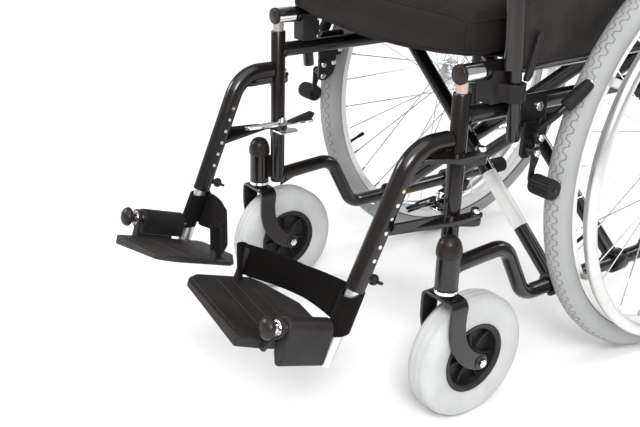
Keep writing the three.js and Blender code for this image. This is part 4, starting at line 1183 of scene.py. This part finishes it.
def brakes():
    make_pair("brake_mount", brake_plate, "steel", "frame", "brake_plate", bevel=0.7)
    make_pair("brake_bolts", brake_bolts, "chrome", "frame", bevel=0.3)
    make_pair("brake_handle", brake_handle, "rubber", "brake_lever", "brake_grip")
    make_pair("brake_tip", brake_handle_tip, "chrome", "brake_lever")
    make_pair("brake_stick", brake_lever, "steel", "brake_lever", "brake_lever", bevel=0.5)
    make_pair("brake_link", brake_link, "steel", "brake_arm", "brake_arm", bevel=0.5)
    make_pair("brake_rubber", brake_roller, "rubber", "brake_arm", "brake_roller", angle=30)


# ---------------------------------------------------------------- armrests
REST_LEAN = math.tan(deg(6))
REST_X = 219.3
REST_R = 9.6
REST_FRONT, REST_REAR = 64.5, 322
REST_LOW, REST_TOP = 464, 688


def rest_leg(y, z):
    return y - (z - 440) * REST_LEAN


def armrest_tube(bm):
    """One bent tube. Its front leg is oval, wider from front to back, and turns round through the bend."""
    corners = [(REST_X, rest_leg(REST_FRONT, REST_LOW), REST_LOW), (REST_X, rest_leg(REST_FRONT, 650), 650),
               (REST_X, rest_leg(REST_FRONT, REST_TOP), REST_TOP),
               (REST_X, rest_leg(REST_REAR, REST_TOP), REST_TOP),
               (REST_X, rest_leg(REST_REAR, REST_LOW), REST_LOW)]
    path = bent_path(corners, 38, 12)
    rings = []
    for i, point in enumerate(path):
        ahead = (path[min(i + 1, len(path) - 1)] - path[max(i - 1, 0)]).normalized()
        normal = ahead.cross(X)
        oval = max(0.0, min(1.0, (680 - point.z) / 60)) if point.y < 150 else 0.0
        ring = []
        for angle in range(0, 360, 10):
            c, s = math.cos(deg(angle)), math.sin(deg(angle))
            depth = REST_R + oval * (1 if s > 0 else 7)
            ring.append(bm.verts.new(point + X * REST_R * c + normal * depth * s))
        rings.append(ring)
    add_skin(bm, rings)
    for y, low in ((REST_FRONT, 372), (REST_REAR, 386)):
        ends = [Vector((REST_X, rest_leg(y, z), z)) for z in (low, low + 1, 458, 464)]
        add_tube(bm, ends, [7.6, 8.5, 8.5, REST_R - 0.2], 32)


def armrest_pad(bm):
    """A moulded pad: a rounded oblong, crowned across and softly rolled at its edges."""
    rows = []
    low = REST_TOP + REST_R + 0.4
    layers = [(0, 0.9), (2, 0.985), (8, 1.0), (16, 0.99), (21, 0.955), (24, 0.88), (25.4, 0.74), (26, 0.5)]
    for rise, spread in layers:
        ring = []
        for i in range(64):
            angle = 2 * math.pi * i / 64
            c, s = math.cos(angle), math.sin(angle)
            x = 26 * math.copysign(abs(c) ** 0.45, c)
            y = 165 * math.copysign(abs(s) ** 0.3, s)
            inset = 26 * (1 - spread)
            x -= math.copysign(min(abs(x), inset), x)
            y -= math.copysign(min(abs(y), inset), y)
            ring.append(bm.verts.new((REST_X + x, 178 + y, low + rise)))
        rows.append(ring)
    add_skin(bm, rows)


def panel_outline(inset):
    """The panel between the armrest legs, drawn in by an inset."""
    side = REST_R / math.cos(deg(6)) + 0.6 + inset
    low, top, corner = 464 + inset, 678 - inset, 32

    def front(z):
        return rest_leg(REST_FRONT, z) + side

    def rear(z):
        return rest_leg(REST_REAR, z) - side
    points = [(front(low), low), (rear(low), low), (rear(top - corner), top - corner)]
    for i in range(1, 6):
        angle = deg(15 * i)
        points.append((rear(top) - corner * (1 - math.cos(angle)), top - corner * (1 - math.sin(angle))))
    points += [(rear(top) - corner, top), (front(top) + corner, top)]
    for i in range(1, 6):
        angle = deg(90 + 15 * i)
        points.append((front(top) + corner * (1 + math.cos(angle)), top - corner * (1 - math.sin(angle))))
    points.append((front(top - corner), top - corner))
    return points


def armrest_panel(bm):
    add_prism(bm, panel_outline(0), "x", REST_X - 1.1, REST_X + 1.1)
    add_prism(bm, panel_outline(7), "x", REST_X - 1.5, REST_X + 1.5)


def panel_trim(bm):
    low = 464
    front, rear = rest_leg(REST_FRONT, low) + 10.6, rest_leg(REST_REAR, low) - 10.6
    add_rod(bm, (REST_X, front, low + 1), (REST_X, rear, low + 1), 1.9, 16)


def panel_rivets(bm):
    add_disc(bm, Vector((REST_X + 1.2, 88, 459)), X, 4, 2)
    add_rod(bm, (REST_X, 88, 459), (REST_X + 1.4, 88, 459), 6, 20)


def armrest_catch(bm):
    y, z = 78, 452
    outline = [(y - 4, z - 2), (y - 2, z - 5.6), (y + 3, z - 5.6), (y + 8, z), (y + 18, z + 42),
               (y + 19, z + 48), (y + 17, z + 52), (y + 12, z + 52), (y + 3, z + 18)]
    add_prism(bm, outline, "x", REST_X + 2.2, REST_X + 8)


def armrests():
    make_pair("armrest_tube", armrest_tube, "frame", "armrest", "armrest_frame", angle=50)
    make_pair("armrest_cushion", armrest_pad, "pad", "armrest", "armrest_pad", angle=60)
    make_pair("armrest_panel", armrest_panel, "plate", "armrest", "side_panel", bevel=0.8)
    make_pair("armrest_trim", panel_trim, "rubber", "armrest")
    make_pair("armrest_rivet", panel_rivets, "chrome", "armrest")
    make_pair("armrest_catch", armrest_catch, "plastic", "armrest_latch", "armrest_latch", bevel=1.2)


# ---------------------------------------------------------------- cross brace and seat rails
FRONT_BAR_Y = 214


def brace_ends(sign):
    """Where a brace half starts on one lower rail and ends on the other seat rail."""
    return Vector((HALF_TRACK * sign, 0, LOWER_RAIL_Z)), Vector((-HALF_TRACK * sign, 0, SEAT_RAIL_Z))


def brace_bars(ys, sign):
    """The bars that rise from one lower rail to the other seat rail, with that rail."""
    def build(bm):
        low, high = brace_ends(sign)
        for y in ys:
            add_tube(bm, [low + Y * y, high + Y * y], TUBE_R, 32)
            add_lathe(bm, [(11.8, -12), (16.4, -12), (17, -11.4), (17, 11.4), (16.4, 12), (11.8, 12)],
                      low + Y * y, Y, 40, closed=True)
        add_tube(bm, [high + Y * 28, high + Y * 404, high + Y * 405], [11, 11, 10], 32)
        add_tube(bm, [high + Y * 10, high + Y * 30], 9.2, 24)
    return build


def label(bm):
    """A plain sticker wrapped part of the way round the front bar."""
    low, high = (end + Y * FRONT_BAR_Y for end in brace_ends(1))
    along = (high - low).normalized()
    across = Y.cross(along).normalized()
    rows = []
    for t in (0.18, 0.21, 0.26, 0.31, 0.345, 0.366):
        centre = low.lerp(high, t)
        ring = []
        for i in range(15):
            angle = deg(-115 + 13 * i)
            ring.append(bm.verts.new(centre + (Y * -math.cos(angle) - across * math.sin(angle)) * 11.12))
        rows.append(ring)
    for a, b in zip(rows, rows[1:]):
        for i in range(14):
            bm.faces.new((a[i], a[i + 1], b[i + 1], b[i]))


def guide_sleeve(bm):
    centre = Vector((HALF_TRACK, 0, SEAT_RAIL_Z))
    add_lathe(bm, [(9.8, 9), (9.8, 25.4), (11.2, 25.6), (11.7, 25), (11.7, -3.8), (0, -3.8), (0, 8.8),
                   (9.8, 9)], centre, Y, 48)


def guide_cap(bm):
    add_lathe(bm, [(0, -10), (10, -9.8), (11.5, -9), (12.2, -7.6), (12.2, -4), (0, -4)],
              Vector((HALF_TRACK, 0, SEAT_RAIL_Z)), Y, 48)


def guide_stem(bm):
    add_rod(bm, (HALF_TRACK, 0, 214), (HALF_TRACK, 0, 455), 8, 32)


def brace():
    make("brace_bars_a", brace_bars((FRONT_BAR_Y, 350), 1), "frame", "brace_a", ("cross_bar_a",), angle=50)
    make("brace_bars_b", brace_bars((240, 376), -1), "frame", "brace_b", ("cross_bar_b",), angle=50)
    make("brace_label", label, "label", "brace_a", angle=80)
    make_pair("seat_sleeve", guide_sleeve, "chrome", "seat", "seat_guide")
    make_pair("seat_cap", guide_cap, "cap", "seat")
    make_pair("seat_stem", guide_stem, "copper", "seat")


# ---------------------------------------------------------------- upholstery
def seat_z(s, edge, sag=16):
    return edge - sag * (1 - s * s)


def remesh(piece, size):
    modifier = piece.modifiers.new("remesh", "REMESH")
    modifier.mode = "VOXEL"
    modifier.voxel_size = size
    bake(piece)


def bake(piece):
    graph = bpy.context.evaluated_depsgraph_get()
    mesh = bpy.data.meshes.new_from_object(piece.evaluated_get(graph))
    piece.modifiers.clear()
    old = piece.data
    piece.data = mesh
    bpy.data.meshes.remove(old)


SWELL_FRAMES = 20


def inflate(piece, cap, pressure, held):
    """Swells a closed form as cloth. held(co) is 1 where a point stays and 0 where it may move."""
    rest = [v.co.copy() for v in piece.data.vertices]
    group = piece.vertex_groups.new(name="held")
    for i, co in enumerate(rest):
        group.add([i], held(co), "REPLACE")
    cloth = piece.modifiers.new("cloth", "CLOTH")
    cloth.settings.use_pressure = True
    cloth.settings.uniform_pressure_force = pressure
    cloth.settings.effector_weights.gravity = 0
    cloth.settings.vertex_group_mass = "held"
    cloth.settings.tension_stiffness = 18
    cloth.settings.bending_stiffness = 1.2
    cloth.settings.quality = 5
    cloth.point_cache.frame_start = 1
    cloth.point_cache.frame_end = SWELL_FRAMES
    for number in range(1, SWELL_FRAMES + 1):
        bpy.context.scene.frame_set(number)
    bake(piece)
    for v, start in zip(piece.data.vertices, rest):
        move = v.co - start
        if move.length > cap:
            v.co = start + move * (cap / move.length)
    bpy.context.scene.frame_set(1)


def cushion_form(bm):
    """The boxed cushion before it is filled: its underside follows the sling."""
    steps = 16
    half, back, front = 195, 399, 14
    outline = [(half * (-1 + 2 * i / steps), seat_z(-1 + 2 * i / steps, 475.5)) for i in range(steps + 1)]
    outline += [(half, 521), (-half, 521)]
    add_prism(bm, outline, "y", front, back)


def seam_point(s):
    """A point on the cushion's rim, s from 0 to 4, one side at a time from the front left corner."""
    half, front, back = 197, 11.5, 401
    side, t = int(s) % 4, s - int(s)
    corners = [(half, front), (-half, front), (-half, back), (half, back), (half, front)]
    a, b = corners[side], corners[side + 1]
    return Vector((a[0] + (b[0] - a[0]) * t, a[1] + (b[1] - a[1]) * t))


def rim_loop(piece, z_of, count=220):
    """Points that follow the cushion's skin round its rim at the height z_of(point)."""
    middle_y = 206 * MM + SHIFT_Y
    graph = bpy.context.evaluated_depsgraph_get()
    solid = piece.evaluated_get(graph)
    points = []
    for i in range(count):
        flat = seam_point(4 * i / count)
        z = z_of(flat) * MM
        start = Vector((flat.x * MM * 1.4, (flat.y * MM + SHIFT_Y - middle_y) * 1.4 + middle_y, z))
        aim = Vector((0, middle_y, z)) - start
        hit, place, normal, _ = solid.ray_cast(start, aim.normalized())
        if hit:
            points.append(place + normal * 0.0004)
    return points


def cushion_piping(cushion):
    """The sewn edges along the top and bottom of the boxed side."""
    for name, z_of in (("cushion_piping_top", lambda p: 515.5),
                       ("cushion_piping_low", lambda p: seat_z(p.x / 198, 480.0))):
        points = rim_loop(cushion, z_of)
        bm = bmesh.new()
        loop = [Vector((p.x / MM, (p.y - SHIFT_Y) / MM, p.z / MM)) for p in points]
        add_tube(bm, loop + loop[:2], 1.5, 8)
        piece = finish_mesh(name, bm, 0, 60)
        piece.data.materials.append(MAT["nylon"])
        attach(piece, "seat_left")
        flatten(piece)


def corner_seams(cushion):
    """Upright seams at the front corners of the boxed side."""
    for side, sign in SIDES:
        bm = bmesh.new()
        path = []
        graph = bpy.context.evaluated_depsgraph_get()
        solid = cushion.evaluated_get(graph)
        for i in range(13):
            z = (481 + 34 * i / 12) * MM
            start = Vector((sign * 176 * MM, -0.2 + SHIFT_Y, z))
            hit, place, _, _ = solid.ray_cast(start, Y)
            if hit:
                path.append(Vector((place.x / MM, (place.y - SHIFT_Y) / MM - 0.2, place.z / MM)))
        add_tube(bm, path, 0.9, 8)
        piece = finish_mesh(f"cushion_seam_{side}", bm, 0, 60)
        piece.data.materials.append(MAT["nylon"])
        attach(piece, "seat_left")
        flatten(piece)


VOXEL = 0.006
PRESSURE = 4.0
SWELL_LIMIT = 0.007


def on_the_sling(co):
    """Holds the cushion's flat underside, away from its edges."""
    return 1.0 if co.z < 0.474 and abs(co.x) < 0.185 else 0.0


def cushion():
    bm = bmesh.new()
    cushion_form(bm)
    piece = finish_mesh("seat_pad", bm, 9, 30)
    piece.modifiers["edges"].segments = 4
    bake(piece)
    remesh(piece, VOXEL)
    inflate(piece, SWELL_LIMIT, PRESSURE, on_the_sling)
    modifier = piece.modifiers.new("smooth", "SMOOTH")
    modifier.iterations = 4
    subdivide = piece.modifiers.new("finer", "SUBSURF")
    subdivide.levels = 1
    subdivide.render_levels = 1
    bake(piece)
    piece.data.shade_smooth()
    piece.data.materials.clear()
    piece.data.materials.append(MAT["nylon"])
    cushion_piping(piece)
    corner_seams(piece)
    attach(piece, "seat_left")
    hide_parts("seat_cushion")
    flatten(piece)


def strip_surface(bm, line, low, high, steps, place, thickness):
    """A thin sheet along a line of points, spread from low to high on the other direction."""
    rows = []
    for i, point in enumerate(line):
        ahead = line[min(i + 1, len(line) - 1)] - line[max(i - 1, 0)]
        side = Vector((-ahead.y, ahead.x)).normalized() * (thickness / 2)
        ring = []
        for k in range(steps + 1):
            ring.append(bm.verts.new(place(point + side, low + (high - low) * k / steps)))
        for k in range(steps, -1, -1):
            ring.append(bm.verts.new(place(point - side, low + (high - low) * k / steps)))
        rows.append(ring)
    add_skin(bm, rows)


SPAN = 186
SLING_FRONT, SLING_BACK = 63, 392
BACK_LOW, BACK_TOP = 486, 878


def flatten(piece):
    """Gives the piece a copy of its mesh of its own."""
    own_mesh(piece)


def sleeve(name, body, points, low, high, place, thickness):
    """The sleeve of cloth round one tube, in a piece of its own that goes with that tube."""
    bm = bmesh.new()
    strip_surface(bm, points, low, high, 12, place, thickness)
    piece = finish_mesh(name, bm, 0, 60)
    piece.data.materials.append(MAT["nylon"])
    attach(piece, body)
    return piece


def mirrored(points):
    return [Vector((-p.x, p.y)) for p in reversed(points)]


def sling():
    def place(p, y):
        return Vector((p.x, y, p.y))
    line = [Vector((SPAN * k / 12, seat_z(k / 12, 470.5, 17))) for k in range(-12, 13)]
    rail = Vector((HALF_TRACK, SEAT_RAIL_Z))
    wrap = [rail + Vector((math.cos(deg(20 * i)), math.sin(deg(20 * i)))) * 12.4 for i in range(6)]
    wrap.append(Vector((SPAN - 1, 471.4)))
    sleeves = [sleeve("sling_sleeve_left", "seat_left", wrap, SLING_FRONT, SLING_BACK, place, 1.6),
               sleeve("sling_sleeve_right", "seat_right", mirrored(wrap), SLING_FRONT, SLING_BACK, place,
                      1.6)]
    bm = bmesh.new()
    strip_surface(bm, line, SLING_FRONT, SLING_BACK, 24, place, 1.6)
    piece = finish_mesh("seat_web", bm, 0, 60)
    piece.data.materials.append(MAT["nylon"])
    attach(piece, "seat_left")
    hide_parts("seat_sling")
    flatten(piece)


def backrest():
    """Cloth round each cane, and bowed back between them."""
    def place(p, z):
        return Vector((p.x, p.y, z))
    line = [Vector((SPAN * k / 12, CANE_Y - 6 + 20 * (1 - (k / 12) ** 2))) for k in range(-12, 13)]
    wrap = [Vector((SPAN - 1.5, CANE_Y - 5.4))]
    for i in range(13):
        angle = deg(200 + 20 * i)
        wrap.append(Vector((198 + 12.6 * math.cos(angle), CANE_Y + 12.6 * math.sin(angle))))
    sleeves = [sleeve("back_sleeve_left", "frame_left", wrap, BACK_LOW, BACK_TOP, place, 2),
               sleeve("back_sleeve_right", "frame_right", mirrored(wrap), BACK_LOW, BACK_TOP, place, 2)]
    bm = bmesh.new()
    strip_surface(bm, line, BACK_LOW, BACK_TOP, 30, place, 2)
    piece = finish_mesh("back_web", bm, 0, 60)
    piece.data.materials.append(MAT["nylon"])
    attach(piece, "frame_left")
    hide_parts("backrest")
    flatten(piece)
    back_hems(line)


def back_hems(line):
    """Folded hems at the top and bottom of the backrest, and two rows of stitching beside each cane."""
    bm = bmesh.new()
    for z in (866, 490):
        strip_surface(bm, line[1:-1], z, z + 10, 2, lambda p, h: Vector((p.x, p.y, h)), 3.6)
    for index in (1, 2):
        for side in (index, len(line) - 1 - index):
            point = line[side]
            for k in range(74):
                low = Vector((point.x, point.y - 1.2, 494 + 5.1 * k))
                add_tube(bm, [low, low + Z * 3], 0.45, 6)
    piece = finish_mesh("back_hem", bm, 0, 60)
    piece.data.materials.append(MAT["webbing"])
    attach(piece, "frame_left")
    flatten(piece)


# ---------------------------------------------------------------- camera, floor and light
def camera():
    azimuth, fall, roll = deg(54.15), deg(23.26), deg(1.5)
    look = Vector((-math.sin(azimuth) * math.cos(fall), math.cos(azimuth) * math.cos(fall),
                   -math.sin(fall)))
    right = Vector((math.cos(azimuth), math.sin(azimuth), 0))
    up = right.cross(look)
    right_rolled = right * math.cos(roll) + up * math.sin(roll)
    up_rolled = up * math.cos(roll) - right * math.sin(roll)
    turn = Matrix((right_rolled, up_rolled, -look)).transposed()
    data = bpy.data.cameras.new("camera")
    data.lens = 51.31
    data.sensor_width = 36
    data.shift_x = 0.0009
    data.shift_y = 0.0047
    data.clip_start = 0.01
    eye = bpy.data.objects.new("camera", data)
    eye.matrix_world = Matrix.Translation((0.9453, -0.7414 + SHIFT_Y, 0.7218)) @ turn.to_4x4()
    bpy.context.collection.objects.link(eye)
    bpy.context.scene.camera = eye


def floor():
    s = Shader("pale_floor", roughness=0.6)
    s.color(s.noise(3), [(0.3, (0.93, 0.93, 0.93)), (0.8, (0.95, 0.95, 0.95))])
    bm = bmesh.new()
    size = 12
    for x, y in ((-size, -size), (size, -size), (size, size), (-size, size)):
        bm.verts.new((x, y, -0.0005))
    bm.faces.new(bm.verts)
    mesh = bpy.data.meshes.new("floor")
    bm.to_mesh(mesh)
    bm.free()
    ground = bpy.data.objects.new("floor", mesh)
    mesh.materials.append(s.material)
    bpy.context.collection.objects.link(ground)


def area_light(name, place, size, power):
    data = bpy.data.lights.new(name, "AREA")
    data.shape = "DISK"
    data.size = size
    data.energy = power
    lamp = bpy.data.objects.new(name, data)
    lamp.location = place
    lamp.rotation_mode = "QUATERNION"
    lamp.rotation_quaternion = (Vector((0, 0, 0.3)) - Vector(place)).to_track_quat("-Z", "Y")
    bpy.context.collection.objects.link(lamp)


def sun_light(direction, strength, spread):
    data = bpy.data.lights.new("sun", "SUN")
    data.energy = strength
    data.angle = deg(spread)
    lamp = bpy.data.objects.new("sun", data)
    lamp.rotation_mode = "QUATERNION"
    lamp.rotation_quaternion = Vector(direction).to_track_quat("-Z", "Y")
    bpy.context.collection.objects.link(lamp)


def lights():
    world = bpy.data.worlds.new("studio")
    world.use_nodes = True
    world.node_tree.nodes["Background"].inputs[0].default_value = (1, 1, 1, 1)
    world.node_tree.nodes["Background"].inputs[1].default_value = 0.42
    bpy.context.scene.world = world
    sun_light((-0.3, 0.35, -1), 2.1, 70)
    area_light("key", (1.9, -1.5, 1.9), 0.9, 55)
    area_light("fill", (-1.9, -1.7, 1.5), 0.9, 30)
    area_light("rim", (0.6, 2.2, 1.9), 1.0, 32)
    bpy.context.scene.view_settings.view_transform = "Standard"


camera()
floor()
lights()
dress_pivot()
rear_wheels()
casters()
frames()
footrests()
heel_straps()
brakes()
armrests()
brace()
cushion()
sling()
backrest()
